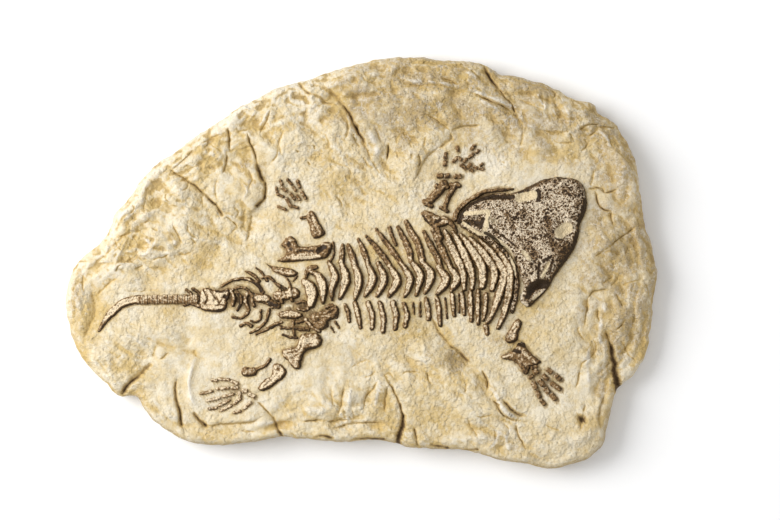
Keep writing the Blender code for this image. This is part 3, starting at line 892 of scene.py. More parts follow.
# Strokes: half width at the start and the end, rise, furrow, belly and wear.  Plates: rise and
# width of the shoulder.  Dips: half length, half width, turn and depth.  Furrows: half width and
# depth.  Marks of colour: half width and amount.
BONES = read_bones("""
skull rough=.5 pits=.9 worn=.3 step=.5
plate 11 15: 460,220 463,212.5 470,206 480,200 492,195.5 506,194 519,191 533,184 545,179 557,177 569,178
  578,181 584,188 586.5,201 585,212 580,224 578,236 574,248 566,260 555,275 547,289 538,299 529,307
  523,304 520,297 524,286 520,275 517,265 511,254 504,246.5 495,240 486,237 476,233 467,227.5
dip 10.5 5.6 -12 4.6: 526,196
dip 11.5 8 48 5.5: 564,230
dip 11 6 -8 5.5: 475,221
dip 14 6 -42 8.5: 536,289
dip 9.5 2.4 48 3.4: 493,239
dip 7 2 -60 1.6: 546,266
furrow 3.5 -1.6: 503,241 516,252 529,264
furrow 3 -1.4: 488,218 493,229 503,241
furrow 2.6 -1: 472,209 488,203 508,201
furrow 1.6 1.5: 485,198 495,197 502,198 510,199
furrow 1 .8: 519,193 530,188 537,184
furrow 1 .9: 540,276 545,268 550,261
stroke 2.6 2.2 4.6 .5 0 .5: 459,222 463,213.5 470,207 480,201 492,196.5 504,195
stroke 2.4 2.4 4.2 .4 0 .8: 462,225 474,232 486,238 498,246 508,256 515,270 517,284 515,300 512,311
cream 5 1: 519,198 527,196.5 533,195
cream 6.6 .9: 560,233 563,230 567,228
cream 2.4 .85: 465,213.5 475,213 487,211.5
cream 2.8 .9: 488,212 487,222 484,232
cream 2 .8: 463,223 471,228.5 480,234 488,234
cream 2.2 .75: 490,236 500,242 508,249 512,258 514,274
cream 4.4 .4: 493,220 495,222
cream 2 .8: 542,277 545,270 548,263
cream 1.6 .6: 533,299 540,293
cream 2.6 .6: 523,252 529,259
dark 2.4 1: 538,191 539,196 538,200
dark 1.6 .8: 519,193 528,189 536,185
dark 3.4 .7: 528,187 538,183 548,180
dark 2.6 1: 459,221 462,212 470,204.5 480,199.5 492,197 504,197.5 513,197
dark 2.6 .68: 467,222 473,223 480,222
dark 3.2 .85: 476,224 480,226
dark 2.2 1: 483,219 481,226
dark 1.4 .8: 563,240 556,239
dark 1.8 .9: 578,225 581,233
dark 3.4 .95: 586,200 584,211 580,221
dark 3 .9: 577,234 573,248 564,262 554,276
dark 1.2 .8: 489,217 489,224 495,231 505,238 516,247
dark 2 1: 485,233 491,236 497,241 501,247
dark 1.6 .9: 539,263 538,271 538,278
dark 1.6 .8: 551,264 549,273
dark 1.4 1: 543,260 550,257
dark 5.6 1: 531,288 538,283.5 546,284.5
dark 3.4 .85: 527,297 531,291
dark 2 .9: 530,305 540,300 548,290
dark 5 .55: 521,240 527,247 534,256
dark 4 .62: 547,219 549,228 551,238
dark 5 .5: 553,245 561,252 569,244
dark 6 .3: 556,262 562,256
dark 3 .4: 505,213 511,222 514,232
dark 3 .3: 524,212 530,222
dark 4 .35: 565,190 575,196 576,206
pale 9 .6: 530,207 545,203 558,196
pale 6 .54: 548,188 556,192
pale 1.4 .9: 557,224 562,220.5 570,220 576,223
pale 1.8 .7: 583,184 585,192 585,198
pale 4 .56: 497,226 504,232
pale 3 .62: 516,226 519,231
pale 3 .6: 523,251 531,262
pale 2 .7: 533,297 539,293 546,288
pale 2.4 .9: 523,303 528,306
pale 1.6 .7: 521,285 522,294 521,300
pale 2 .55: 474,206 486,203 498,203

jaw_left worn=.2
stroke 3 1.4 3.8 .6: 455,219 457,212 463,205 472,198.5 483,192.5 494,190.5 504,190 513,189

humerus_left worn=.14
plate 4.6 5: 421,213 427,210.5 434,213 441,217 448,218.5 450,222.5 444,226 436,227.5 429,225 424,219
furrow 1.6 1: 428,216 437,221 445,222
stroke 3.6 1.8 4.2 .4: 444,219 450,222.5 454,227 456,232
stroke 3.8 2.4 4 .6: 427,218 433,224 438,231 441,238
pale 2 .6: 434,217 438,218
pale 1.4 .6: 442,221 447,222
dark 2 .9: 423,217 428,224
dark 1.6 .9: 436,222 440,220

radius_left worn=.16
stroke 4.4 3.9 4: 444,184 440,190 433,197 427,203
stroke 2.6 2.6 4.2: 437,186 447,187
stroke 2.4 2.4 4.2: 424,201 431,206

ulna_left worn=.16
stroke 3 2.4 3.6: 456,184 451,192 447,200 445,209
stroke 2.2 2.2 3.8: 451,184.5 459,185.5
stroke 2 2.2 3.6: 441,208 447,211

humerus_right worn=.36
plate 4.6 4.4: 522,322 519,331 516,341 508,343 505,338 509,330 514,322 518,319
furrow 1.6 .9: 517,326 513,332 510,339

forearm_right worn=.2
plate 5 5: 501,356 508,353 514,349 519,342 524,343 527,349 534,356 541,361 537,365 530,368 528,374 524,374
  519,366 513,361 503,359
dip 3.4 3 0 3: 521,343.5
furrow 1.2 1.4: 513,350 522,355 531,364
furrow 1 .8: 507,357 516,361 523,369
dark 3 1: 519,343 523,344
dark 2 .9: 513,350 520,352
dark 1.6 .6: 522,364 525,371
pale 2 .6: 523,352 530,359 535,362
pale 1.2 .7: 503,357 510,355

femur_left worn=.2
plate 4.8 5.5: 281,245 285,239 291,236 296,240 299,246 308,246.5 318,245 326,241.5 332,244 331,251 326,258
  316,260 303,260.5 290,262 277,261 284,256 286,250
dip 5 3.2 -40 2.2: 321,250
dip 4 3.4 -30 1: 290,246
furrow 1.8 1: 286,256 300,253 316,252
pale 2 .8: 293,257.5 306,257.5 319,256
pale 1.6 .6: 322,244 329,246
dark 3 .9: 318,251 324,247
dark 2.2 .7: 288,243 291,249
dark 1.4 .7: 300,250.5 312,251

shin_left worn=.2
plate 4.4 4.6: 308,213 311,210.5 315,213 319,222 325,231 324,235 315,239 311,234 309,225 306,218
furrow 1.4 .9: 311,214 314,224 319,233
stroke 1.6 2: 301,218 307,217
pale 1.4 .6: 312,217 316,226 320,233
dark 1.6 .8: 319,220 324,229

femur_right worn=.36
plate 5.4 5: 301,335 306,333 318,333.5 322,340 320,346 313,349 305,352 302,360 300,368 294,369 289,362
  283,357 282,351 288,348 296,347 298,342
dip 6 3.6 10 1.2: 311,341
dip 4 5 10 1.4: 294,358
furrow 1.2 1.2: 303,340 300,350 291,353
pale 3.4 .9: 308,340.5 315,340.5
pale 1.6 .6: 290,361 296,366

tibia_right worn=.52
plate 4 4.2: 274,364 280,364 286,370 285,376 278,382 270,388 262,391.5 258,388 264,380 271,376 272,370
dip 4 3 -40 1.4: 279,370
furrow 1.2 .9: 278,374 271,381 264,387

fibula_right worn=.26
stroke 5 4.4 3.6: 246,372 253,371.5
stroke 2 1.5 2.8: 251,371 259,368.5 266,364.5 270,359.5

ilium_left worn=.32
plate 3.4 3.4: 264,262 271,265.5 281,267 291,268.5 298,273 292,277 283,275.5 274,272
furrow 1 .9: 270,267 282,271 293,273

ilium_right worn=.2
plate 4.4 4.6: 310,318 314,313 322,311 330,308 336,305 339,309 338,316 333,319 328,322 328,327 321,330
  315,328
dip 4.4 3.4 0 1.6: 320,320
dip 2.6 2 0 1: 333,312
furrow 1 1: 316,316 325,315 335,310

ischium_right
plate 3.4 3.4: 277,314 283,311 291,309.5 299,312 303,315.5 298,318.5 289,319 281,318
furrow 1 1: 281,315 290,313 299,315

sacrum worn=.36
stroke 5.4 5.6 4.2 .8: 278,296 287,295 294.5,293
stroke 2 2 4.6: 280,290 282,302
stroke 2 2.2 4.8: 290,288 292,300

tail worn=.62 step=.5
stroke 1.4 4.2 2.2 .5: 98,331 102,325 106,319 111,313
stroke 4 4.6 2.8 .7: 109,315 115,309 123,303.5 131,300.5 139,299.5
stroke 1.7 1.5 2.4: 186,290 191,294 190,301
stroke 2 1.7: 193,289 199,294 197,302
stroke 1.9 2 2.4 .4: 184,305 191,303.5 199,306
plate 3.6 3.4: 200,291 206,288 213,289 220,291 228,288 230,294 227,301 226,309 218,312 208,311.5 200,308
dip 2.6 2.4 0 2.6: 225,296
dip 2 3.4 10 1.8: 215,300
dip 5 1.2 0 1.4: 208,305
furrow 1.3 1.6: 204,290 208,296 206,303
furrow 1.2 1.6: 212,290 216,296 220,302
furrow 1 1.4: 200,307 212,306 224,305
stroke 2.2 2.4: 231,291 234,297 233,305
stroke 1.7 1.7 3 .3 0 .4: 237,292 241,298 240,305 237,310
stroke 2.4 2.2 3 .4: 247,294 245.5,301 248,308
stroke 2 1.8 3 .4: 253,294 252,300 254,306
stroke 4.4 4.2 3.6 .8: 258,298 267,299
stroke 3.6 3 3.2 .5 0 .3: 271,303 278,306
stroke 1.4 2.4 2.8 .3: 222,286 231,281 241,278.5 250,280 258,285 262,292
stroke 1.4 1.6 2.4: 230,290.5 240,287.5 248,290 252,296
stroke 1.3 1.9 2.4 0 0 .5: 245,271 252,274 259,281
stroke 1.3 1.5 2.2 0 0 .6: 256,268 262,273 267,281
stroke 1.5 1.7 2.4 0 0 .5: 262,278 269,277 277,284 285,289
stroke 1.4 1.7 2.2: 232,317 241,318 247,314 249,309
stroke 1.5 2 2.4: 240,326 246,323.5 251,326
stroke 1.1 1.5 2.2: 251,321 256,322 260,319 261,310
stroke 1.4 1.9 2.4: 250,333 258,329 266,321 269,310
stroke 1.4 1.8 2.4: 256,334 265,330 273,325 282,322
stroke 1.1 1.2 2: 271,328 278,325 284,328
stroke 1.6 1.7 2.4 0 0 .3: 281,328 295,328 309,328
stroke 1.3 1.3 2: 283,335 290,337 297,338
stroke 1.6 1.5 2.4 0 0 .2: 293,321 294,335
dark .9 .8: 194,290 198,293.5 199.3,298
dark .9 .75: 203,290 205,294 207,298
dark 1 .75: 210,291.5 213.5,296 216.5,300
dark 1.4 .8: 216,291.5 221,292 228,290.5
dark 1.9 .95: 224,297 226.5,297
dark 1.8 .7: 202,304.5 205,302 208.5,300
dark 1.1 .75: 216,306 220,304.5 225,306
dark 1.6 .9: 217,310.5 225,309.5
dark 1 .75: 200,309.5 208,311 216,311.5
dark 1 .75: 217,298 219,303 222,299
dark 1.2 .9: 238,294 239.5,301 239,308
dark 1.6 .9: 268,302 273,305 277,305
dark 1.4 .9: 236,281 241,280 247,281.5
dark 2 .9: 253,283 258,286 261,291
""")


@dataclass(frozen=True)
class Digit:
    """One small bone of a hand or foot, a rod with a knob at each end.

    Args:
        start: where it begins on the sheet.
        end: where it ends.
        width: its width at the knobs.
    """

    start: tuple[float, float]
    end: tuple[float, float]
    width: float


def digits(table: str) -> tuple[Digit, ...]:
    """Small bones from rows of a width and two places."""
    return tuple(Digit(line[0], line[1], width) for line, width in entries(table))


HANDS = {
    "hand_left": digits("""
5.5: 437,176 443,175.5
5.5: 444.5,176 449.5,175.5
5.5: 454,176.5 461,176
4: 446,152.5 445,159
4.4: 445.2,160.5 444.6,166
3.8: 457,146 458,151.5
4: 475,145 471,149.5
3.6: 479,150 476,153
4: 458,157 452.5,162
3.8: 458.5,157.5 461.5,160
3.8: 474,153.5 468.5,158
3.6: 467,158.5 463.5,162
4.4: 460.5,164 466.5,169
4: 471,163.5 467.5,167.5
3.8: 473.5,166.5 478,168.5
3.6: 479,168.5 483.5,169
3.4: 480,165.5 483,163.5
3.6: 470,169.5 473,171
"""),
    "hand_right": digits("""
6.5: 533,373 538,371
4.4: 529,378 533,376
5.4: 533,382 536,389
5: 537,391 540,398
4.6: 541,400 545,405
5.6: 539,380 544,386
5.6: 545,388 549,393
5.6: 551,394 556,400
4.8: 543,375 548,380
5.2: 551,383 561,390
5: 547,369 552,373
5.4: 555,375 561,380
4.4: 531,368 537,366
"""),
    "foot_left": digits("""
2.8: 276,187 277,193
3: 277,194 284,197
3.2: 280,180 282,185
3.8: 281,187 286,191
3.4: 287,179 292,185
3.2: 293,187 296,191
3.6: 297,180 300,188
3.8: 301,191 306,199
3.2: 290,193 295,200
3: 296,195 300,200
3.8: 286,198 291,207
3.2: 293,206 298,208
3.2: 277,206 286,210
"""),
    "foot_right": digits("""
3.2: 211,380 217,381
3.4: 218,379 230,380
3.8: 231,381 238,384
3.2: 200,394 213,391
3.6: 216,389 229,388
4: 231,388 238,388
3.4: 208,409 217,408
3.4: 218,406 230,400
3: 206,401 220,398
3.2: 222,397 234,394
3.2: 220,411 232,405
3.6: 234,404 241,398
3.4: 233,413 241,411
3.8: 243,409 251,402
4.6: 242,391 247,391
4.4: 249,394 255,397
3.8: 239,392 240,397
"""),
}
# How far the crests of each group are worn pale.
WORN_DIGITS = {"hand_left": 0.2, "hand_right": 0.22, "foot_left": 0.24, "foot_right": 0.5,
               "tail_spools": 0.4}
# Small vertebrae of the thin part of the tail, from its tip to its root.
TAIL_SPOOLS = tuple(Digit((x, 299.6 - 0.01 * (x - 137)), (x + 4.2, 299.6 - 0.01 * (x - 137)),
                          8.6 + (1.4 if x % 2 else 0.2)) for x in range(138, 198, 5))


# ------------------------------------------------------------------ the stone's surface
@dataclass(frozen=True)
class Crease:
    """A crease, crack, ridge or ledge of the stone.

    Args:
        points: its line on the sheet.
        width: its half width.
        depth: how deep it cuts; a ridge has a negative depth.
        ledge: how much higher the stone stands on its left side, seen along the line.
        dark: how dark its bottom is, as grime and painted shade.
    """

    points: Line
    width: float
    depth: float
    ledge: float = 0.0
    dark: float = 0.0

    REACH = 24.0

    @cached_property
    def line(self) -> Array:
        """Its line with small jogs."""
        smooth = smooth_line(self.points, 2.4)
        lean = np.gradient(smooth, axis=0)
        lean /= np.maximum(np.linalg.norm(lean, axis=1), 1e-6)[:, None]
        push = self.jog.wave(smooth[:, 0], smooth[:, 1], 8.0) * 0.8
        push += self.jog.wave(smooth[:, 0], smooth[:, 1], 3.7) * 0.5
        return smooth + np.stack((-lean[:, 1], lean[:, 0]), axis=1) * push[:, None]

    @cached_property
    def jog(self) -> Lattice:
        """The unevenness that is this crease's own."""
        return Lattice(int(self.points[0][0] * 7 + self.points[0][1]) % 97 + 100)

    def relief(self, x: Array, y: Array) -> tuple[Array, Array]:
        """Its rise at places on the sheet, and how dark (or, below nothing, how pale) it is.

        Args:
            x: sheet x.
            y: sheet y.

        Returns:
            The rise in millimetres, and the mark from -1 to 1.
        """
        distance, along, side = line_coordinates(self.line, x, y)
        ends = ease(along, 0.0, 0.18)
        if self.dark < 0.84:
            ends = ends * ease(1.0 - along, 0.0, 0.18)
        else:
            ends = 0.45 + 0.55 * along
        taper = 0.3 + 0.7 * ends
        if self.depth < 0:
            crest = np.clip(1.0 - distance / (self.width * 1.9), 0.0, 1.0) ** 1.4
            uneven = np.clip(0.8 + 0.5 * self.jog.wave(x, y, 9.0), 0.1, 1.2)
            shown = min(1.0, -self.depth / 1.9) * bell(distance / (self.width * 0.9)) * taper * uneven
            return -1.6 * self.depth * crest * taper * uneven, -np.clip(shown, 0, 1)
        half = np.maximum(self.width * 0.62, 1.1) * (0.5 + 0.5 * taper)
        cut = np.clip(1.0 - distance / half, 0.0, 1.0) ** 1.2
        dish = bell(distance / (self.width * 3.2))
        lip = bell((distance - 2.0 * half) / (1.5 * half)) * ease(distance, half, 2 * half)
        step = self.ledge * side * bell(distance / 20.0) * ease(distance, 0.0, 0.9) * ends
        rise = step - 1.2 * self.depth * taper * (cut * 0.8 + dish * 0.3 - lip * 0.25)
        uneven = np.clip(0.85 + 0.45 * self.jog.wave(x, y, 6.0), 0.2, 1.2)
        # The mark: a dark line in the crease with a dark halo round it, partly grime and partly painted
        # shade, and paler lips beside it, a painted highlight.
        halo = 0.3 * bell(distance / (self.width * 1.9))
        mark = np.maximum(cut ** (0.75 - 0.4 * self.dark), halo) * self.dark * uneven
        mark *= (1.25 if self.dark < 0.95 else 1.8) * (0.35 + 0.65 * ends)
        return rise, np.clip(mark, 0, 1) - 0.3 * self.dark * lip * taper


# Half width, depth, ledge and darkness of each crease or ridge, and its line. The darkness is partly grime
# and partly painted shade in the crease; the four dark rows on the bottom edge, just before the last, are
# painted shadow under that edge.
CREASES = tuple(Crease(*entry) for entry in entries("""
2.2 1.8 0 .35: 402,87 420,85 440,85.5 452,88.5 465,91 473,93
2 2.4 0 .6: 472,93 482,97 492,102 502,106 512,113 520,121
2.4 -2: 400,82 425,81 445,83 458,86
2.8 -2.6: 468,89 485,95 500,101 513,107 522,118
2.2 -1.8: 475,97 490,105 500,111
1.8 1.4 0 .5: 443,78 450,80.5 460,85
2.4 -1.6: 450,68 462,69 472,75 480,81
1.6 1.2 0 .45: 470,69 478,76 482,81
1.5 1.2 -.8 .4: 404,66 415,62.5 430,62.5 448,64 462,66 472,71
1.6 1.2 0 .3: 361,72 364,80 370,82.5 376,79
3.4 4 1 .8: 484,63 487,72 492,80 496,85 500,91
2.2 3 .8 .9: 500,91 506,98 512,105 515,111
1.8 1.8 .4 .4: 515,111 520,122 523,131
1.3 1.6 .5 .55: 424,113 436,120 446,127 450,130
2.4 2.2 1.4 .55: 450,130 460,127 470,125.5 480,125.5
3 2 0 .5: 450,132 452,138 446,143 438,148
2.6 2 -1 .3: 438,148 428,156 420,168 415,180
3 3 .8 .8: 355,122 358,131 362,138 366,146
2.2 1.8 .4 .35: 366,146 370,158 376,168 382,174
5 -2.6: 368,128 374,142 380,158
1.4 1.2 0 .3: 375,125 378,135 383,143
1.6 2 0 .8: 389,143 388,152 387,161
1.3 1.2 0 .4: 400,134 396,140 398,145
1.3 1.2 0 .4: 395,150 398,157
2.6 2 0 .6: 418,154 420,161 417,168
1.6 1.2 0 .45: 426,137 424,146
2 1.4 0 .5: 411,154 411,161
1.3 1 0 .35: 404,107 408,114
1.8 1.6 .6 .4: 362,157 368,165 374,168
1.6 1.4 -.8 .35: 505,76 520,80 530,83 541,86 549,89
2.2 2 0 .55: 551,90 556,93 554,99
1.6 1.8 0 .4: 541,98 543,104 545,109
1.3 1.4 0 .3: 548,95 549,103
3 1.8 0 .25: 556,104 561,112 559,120
1.6 1.4 0 .3: 514,98 526,102 538,108 545,110
2.4 -1.8: 536,92 541,100 546,110
2 -1.6: 562,103 566,110 570,116
2 -1.6: 552,98 553,108 557,116
1.6 1.8 .8 .3: 522,118 530,126 545,131.5 560,132 571,130
2.2 -1.6: 520,115 526,124 536,129
2.4 1.6 0 .35: 523,132 522,140 520,146
1.8 2.2 .8 .5: 578,130 585,126 592,124 600,124
1.6 2 0 .45: 596,124 597,130 592,134 586,137
2.4 -1.6: 574,128 583,124 591,121
1.8 2.4 .6 .5: 600,127 615,127.5
1.4 1.4 0 .4: 608,134 613,147
2.6 -1.6: 600,130 607,139 611,150
2 1.6 -.8 .5: 615,149 622,156 628,163 633,171
1.5 1.6 0 .5: 588,141 586,147 581,151
1.7 1.6 0 .45: 570,133 573,141
1.4 1.2 0 .3: 552,141 562,143 575,142
2 1.4 0 .4: 594,169 592,180 590,187
1.5 2 .8 .6: 303,422 312,421 319,420
1.5 1.8 .8 .5: 327,422 337,420.5 348,420
1.8 1.8 .8 .5: 332,430 340,427 345,425 352,423.5 365,423 382,423
2.4 2.6 0 .45: 344,387 342,400 339,410 337,417
2.4 1.8 0 .55: 343,409 346,419
1.3 1.2 0 .35: 348,415 352,420
1.3 1 0 .25: 352,409 355,418
1.6 1.2 0 .25: 332,392 332,406
1.8 2 0 .45: 377,381 373,390 367,395 365,401 363,409
2 3 .8 .85: 386,377 388,383 392,387 396,395 400,405 404,418
4.6 5.2 1.5 1: 404,416 402,428 398,443
2.4 2.2 0 .5: 387,386 386.5,394 385,401 385,413
1.6 1.6 0 .45: 383,377 389,373 394,379
3 -2: 381,379 378,392 375,408
3 -1.8: 351,380 350,395 347,412
2.8 2.6 0 .6: 414,427 416,437 419,449
1.3 1 0 .3: 351,368 361,362 369,360
1.3 1.2 0 .35: 363,377 371,376 376,371
1.4 1.4 0 .4: 402,375 406,372 418,372
1.8 1.8 -.8 .5: 427,372 428,380 432,384
3 3.4 .8 .9: 451,347 458,351 464,357 467,361
2.8 2.2 .6 .5: 432,318 438,330 446,340 452,348
2.2 2.6 .4 .75: 482,371 485,377 488,384 487,390
1.4 1.4 0 .4: 466,383 465,394
3.4 -3: 489,382 495,393 500,404 507,413 517,418
3 2.8 0 .8: 503,400 508,406 512,411 518,414 526,416
1.6 2.2 0 .8: 494,402 499,409 503,415 509,418.5 514,420 521,420
2.2 1.6 0 .3: 468,417 470,426 475,432 478,439
1.6 1.2 0 .3: 494,429 496,438 493,446
1.6 1.4 0 .35: 504,423 509,430 508,437
1.6 2 .4 .5: 516,423 517,432 521,440 526,450
2.8 1.6 0 .25: 512,440 504,445 497,450
3 -1.6: 500,428 497,440 488,450
3 -1.6: 512,426 506,440 510,452
1.6 1.2 0 .35: 475,416 484,417 493,414
5.4 4.4 0 1: 579.5,417.5 582.5,419.5
3 2.8 0 .9: 494,402 498,405
1.5 1.4 0 .35: 545,425 553,428 561,432
1.6 1.8 0 .9: 590,188.5 597,188 603,188 604,192
1.4 1.6 0 .75: 605,193 610,192 617,189
1.6 2 0 .8: 595,191 597,199 599,205 604,210 612,212
1.6 1.8 0 .65: 612,212 611,218 613,226
1.8 2 -.8 .6: 638,225 629,232 620,238 611,245 602,252 592,258
1.5 1.4 0 .4: 603,252 612,251 617,253
1.4 1.4 0 .4: 628,247 626,254
1.2 1 0 .35: 613,262 615,270
1.4 1.4 0 .45: 602,285 608,280 614,275
1.6 1.8 0 .55: 611,285 615,283 619,277
1.3 1.2 0 .35: 621,286 627,284 639,280
1.6 1.6 .8 .5: 588,298 592,293 597,290.5 608,290
1.5 1.6 .6 .55: 588,298 587,306 588,313
2 2 0 .45: 616,292 619,300 624,308
1.8 1.8 0 .5: 598,309 599,319 601,325
1.3 1.2 0 .4: 616,330 622,325 626,319
1.8 1.6 -1 .25: 643,278 648,288 650,300
1.6 1.4 0 .3: 651,275 655,270 659,269
1.5 1.8 .8 .45: 579,325 578,331 582,338 585,341
1.5 1.6 .6 .45: 591,337 596,343 596,350 590,358 582,364 580,371
1.6 1.4 0 .45: 580,371 579,379 576,388
1.6 1.4 0 .4: 588,307 586,318 585,326
2.6 3 -1 .65: 606,331 609,341 612,350
5.8 6.5 -1.5 1: 611,347 614,362 616,376 619,390
1.6 2 0 .6: 617,391 624,386
1.2 1.2 0 .4: 620,339 624,345 628,353 634,359 637,362
1.2 1.2 0 .35: 616,331 623,324
2 1.6 0 .4: 586,405 583,412
2 1.8 0 .45: 581,421 581,430
1.8 1.6 -1.2 .35: 606,395 601,405 599,418 601,430
3.4 -2: 590,345 588,365 590,385
3.4 -2: 605,300 600,330 604,350
2.4 3.4 1 .85: 171,171 180,176 188,181 195,186 204,194 212,202 218,208 222,215
1.2 1.2 0 .4: 225,216 232,221 238,226
1.3 1.2 0 .4: 188,182 187,188 182,191
1.3 1.2 0 .45: 201,196 203,205
1.6 1.4 1 .3: 171,170 180,163 187,156 193,150
1.6 1.4 .8 .35: 200,144 207,140 213,137 222,134
1.4 1.4 0 .4: 209,142 216,148 222,152
2.2 2.4 -.8 .7: 228,128 229,138 230,150
2.2 2 -.8 .6: 226,154 226,162 223,173
1.8 1.2 0 .35: 217,178 215,190 217,200
1.4 1.2 0 .45: 166,193 165,198 169,202
2.4 1.4 0 .3: 146,195 144,205 145,215
1.3 1 0 .45: 132,205 134,209 130,214
1.5 1.4 0 .4: 144,223 149,221
1.6 1.6 .8 .35: 117,238 125,235 133,232 142,230
1.6 1.6 0 .5: 114,240 117,246 122,251
2.4 1.6 0 .5: 108,226 107,236
1.6 1.8 0 .55: 173,225 176,232 179,238 182,243
2.6 -2: 168,228 171,238 177,246
1.6 1.4 0 .5: 188,224 188,231 193,236 198,238
2 1.6 0 .4: 191,238 196,244
1.8 1.4 0 .45: 152,228 158,231
2.4 -1.8: 143,236 150,244 147,252
2.4 -1.8: 156,236 152,248 140,258
1.4 1.2 0 .4: 132,236 138,243
1.3 1.2 0 .4: 152,260 162,257 170,254
1.3 1.2 0 .4: 178,255 190,253
1.6 1.6 .6 .45: 116,272 118,266 122,265
1.6 1.4 .4 .4: 135,269 140,267 143,265
1.3 1.4 .3 .55: 117,279 111,281 105,287 100,291 95,297
1.6 1.4 0 .4: 82,275 82,285 84,293
3 -1.6: 132,200 125,210 118,222 112,232
2.8 2.4 .8 .65: 297,81 302,87 306,92 312,94
3 2.2 .8 .5: 312,94 320,97 325,102 335,105
5 3 1 .5: 331,90 337,98 343,105 348,110
2.8 4.8 1 .82: 344,105 350,115 354,123 359,134
2 1.8 0 .5: 346,118 348,128 346,138
2 1.8 0 .5: 353,132 355,140 360,148
1.4 1.6 0 .4: 271,109 267,119 263,127 260,134
2.2 3 -1 .65: 247,133 251,145 255,155 257,162
4.2 3.6 -2 .7: 257,162 258,170 261,177 265,183
2.8 3.6 -2 .9: 265,183 265,192 264,198 257,206
1.6 1.4 0 .45: 238,131 243,130 248,129
1.8 1.2 .6 .25: 240,150 250,146 258,144
1.6 1.4 0 .45: 277,143 278,150 276,157 270,163
2.4 -2: 268,112 262,122 258,128
2 -1.6: 258,105 250,118 244,124
2.2 1.6 0 .35: 284,130 279,143 281,155
1.8 -1.6: 283,148 295,144 307,141
1.8 1.4 0 .7: 296,150 299,152
1.4 1.4 0 .6: 308,161 310,165
1.4 1.2 0 .45: 313,145 315,149
1.6 1.2 0 .3: 324,132 328,140 330,147
1.3 1.2 0 .3: 334,162 340,164 349,168 352,176
1.6 1.4 0 .45: 335,196 340,201 342,207
1.6 1.4 0 .45: 246,208 243,215 244,222 240,232
1.4 1.2 0 .4: 233,207 238,212 236,218
1.4 1.2 0 .4: 233,222 236,227 231,233
2.6 1.8 -1 .3: 252,212 250,225 247,242
1.3 1.2 0 .35: 250,170 252,180 248,190
1.6 -1.4: 241,182 247,190 243,200
4 4.4 1.6 .9: 150,365 140,375 128,385 122,394
1.8 1.6 0 .6: 160,360 168,353
1.8 1.4 0 .4: 153,358 155,345
3.4 4 -1 .86: 175,383 176,400 179,412 181,425
3.6 4.2 1.4 .9: 194,414 199,420 205,426
2.4 2.2 1.4 .4: 205,426 230,424 245,423 255,421 262,417
1.6 1.4 0 .35: 240,431 255,432
6 2.6 0 .25: 90,290 95,310 90,325 82,340
1.5 1.6 0 .55: 257,402 263,407 268,413 273,418
3.2 3.4 0 .9: 273,418 277,427 281,436
1.6 1.2 0 .65: 195,350 193,353 197,357
1.8 .8 0 .2: 125,292 140,291 158,290
1.3 1 0 .4: 116,358 121,354
3 -2: 197,352 190,375 189,392 196,408
3 2.4 0 .94: 314,438 322,436 332,438
2.6 2 0 .94: 352,440 366,438.5 384,439.5
3 2.2 0 .94: 431,445 440,446.5 448,448.5
2 1.6 0 .85: 462,450.5 478,450
7 -.7: 637,228 620,238 610,245 600,252 585,260
"""))


# Crumpled places: half length, half width, turn, facet size, stretch and height, and the middle.
CRUMPLES = ovals("""
22 24 90 8 3 1.5: 335,398
22 18 100 8 3 1.5: 382,392
36 24 20 12 1.6 3.1: 570,106
36 16 8 10 1.8 2: 150,246
22 18 60 9 2 1.8: 512,437
26 12 10 7 2.2 1.5: 308,84
26 26 60 17 1.5 1.9: 210,155
30 12 80 11 2 1.6: 253,168
26 14 20 10 1.6 3: 455,82
60 16 62 13 1.8 2.9: 624,150
30 18 0 9 2.2 2.2: 380,90
34 24 50 15 1.6 1.6: 345,150
40 22 80 14 2 2.4: 600,360
44 12 3 10 2.6 1.8: 335,424
36 24 30 14 1.5 1.4: 150,350
30 26 40 14 1.6 2.5: 500,130
40 16 80 12 2 1.6: 100,300
60 12 4 10 2.6 1.5: 230,435
40 22 10 6 1.2 0.9: 450,385
50 14 10 14 2 1.8: 440,440
40 26 60 14 1.4 2.1: 600,240
24 22 30 12 1.5 2.3: 430,130
40 20 35 12 1.8 1.6: 170,200
""")
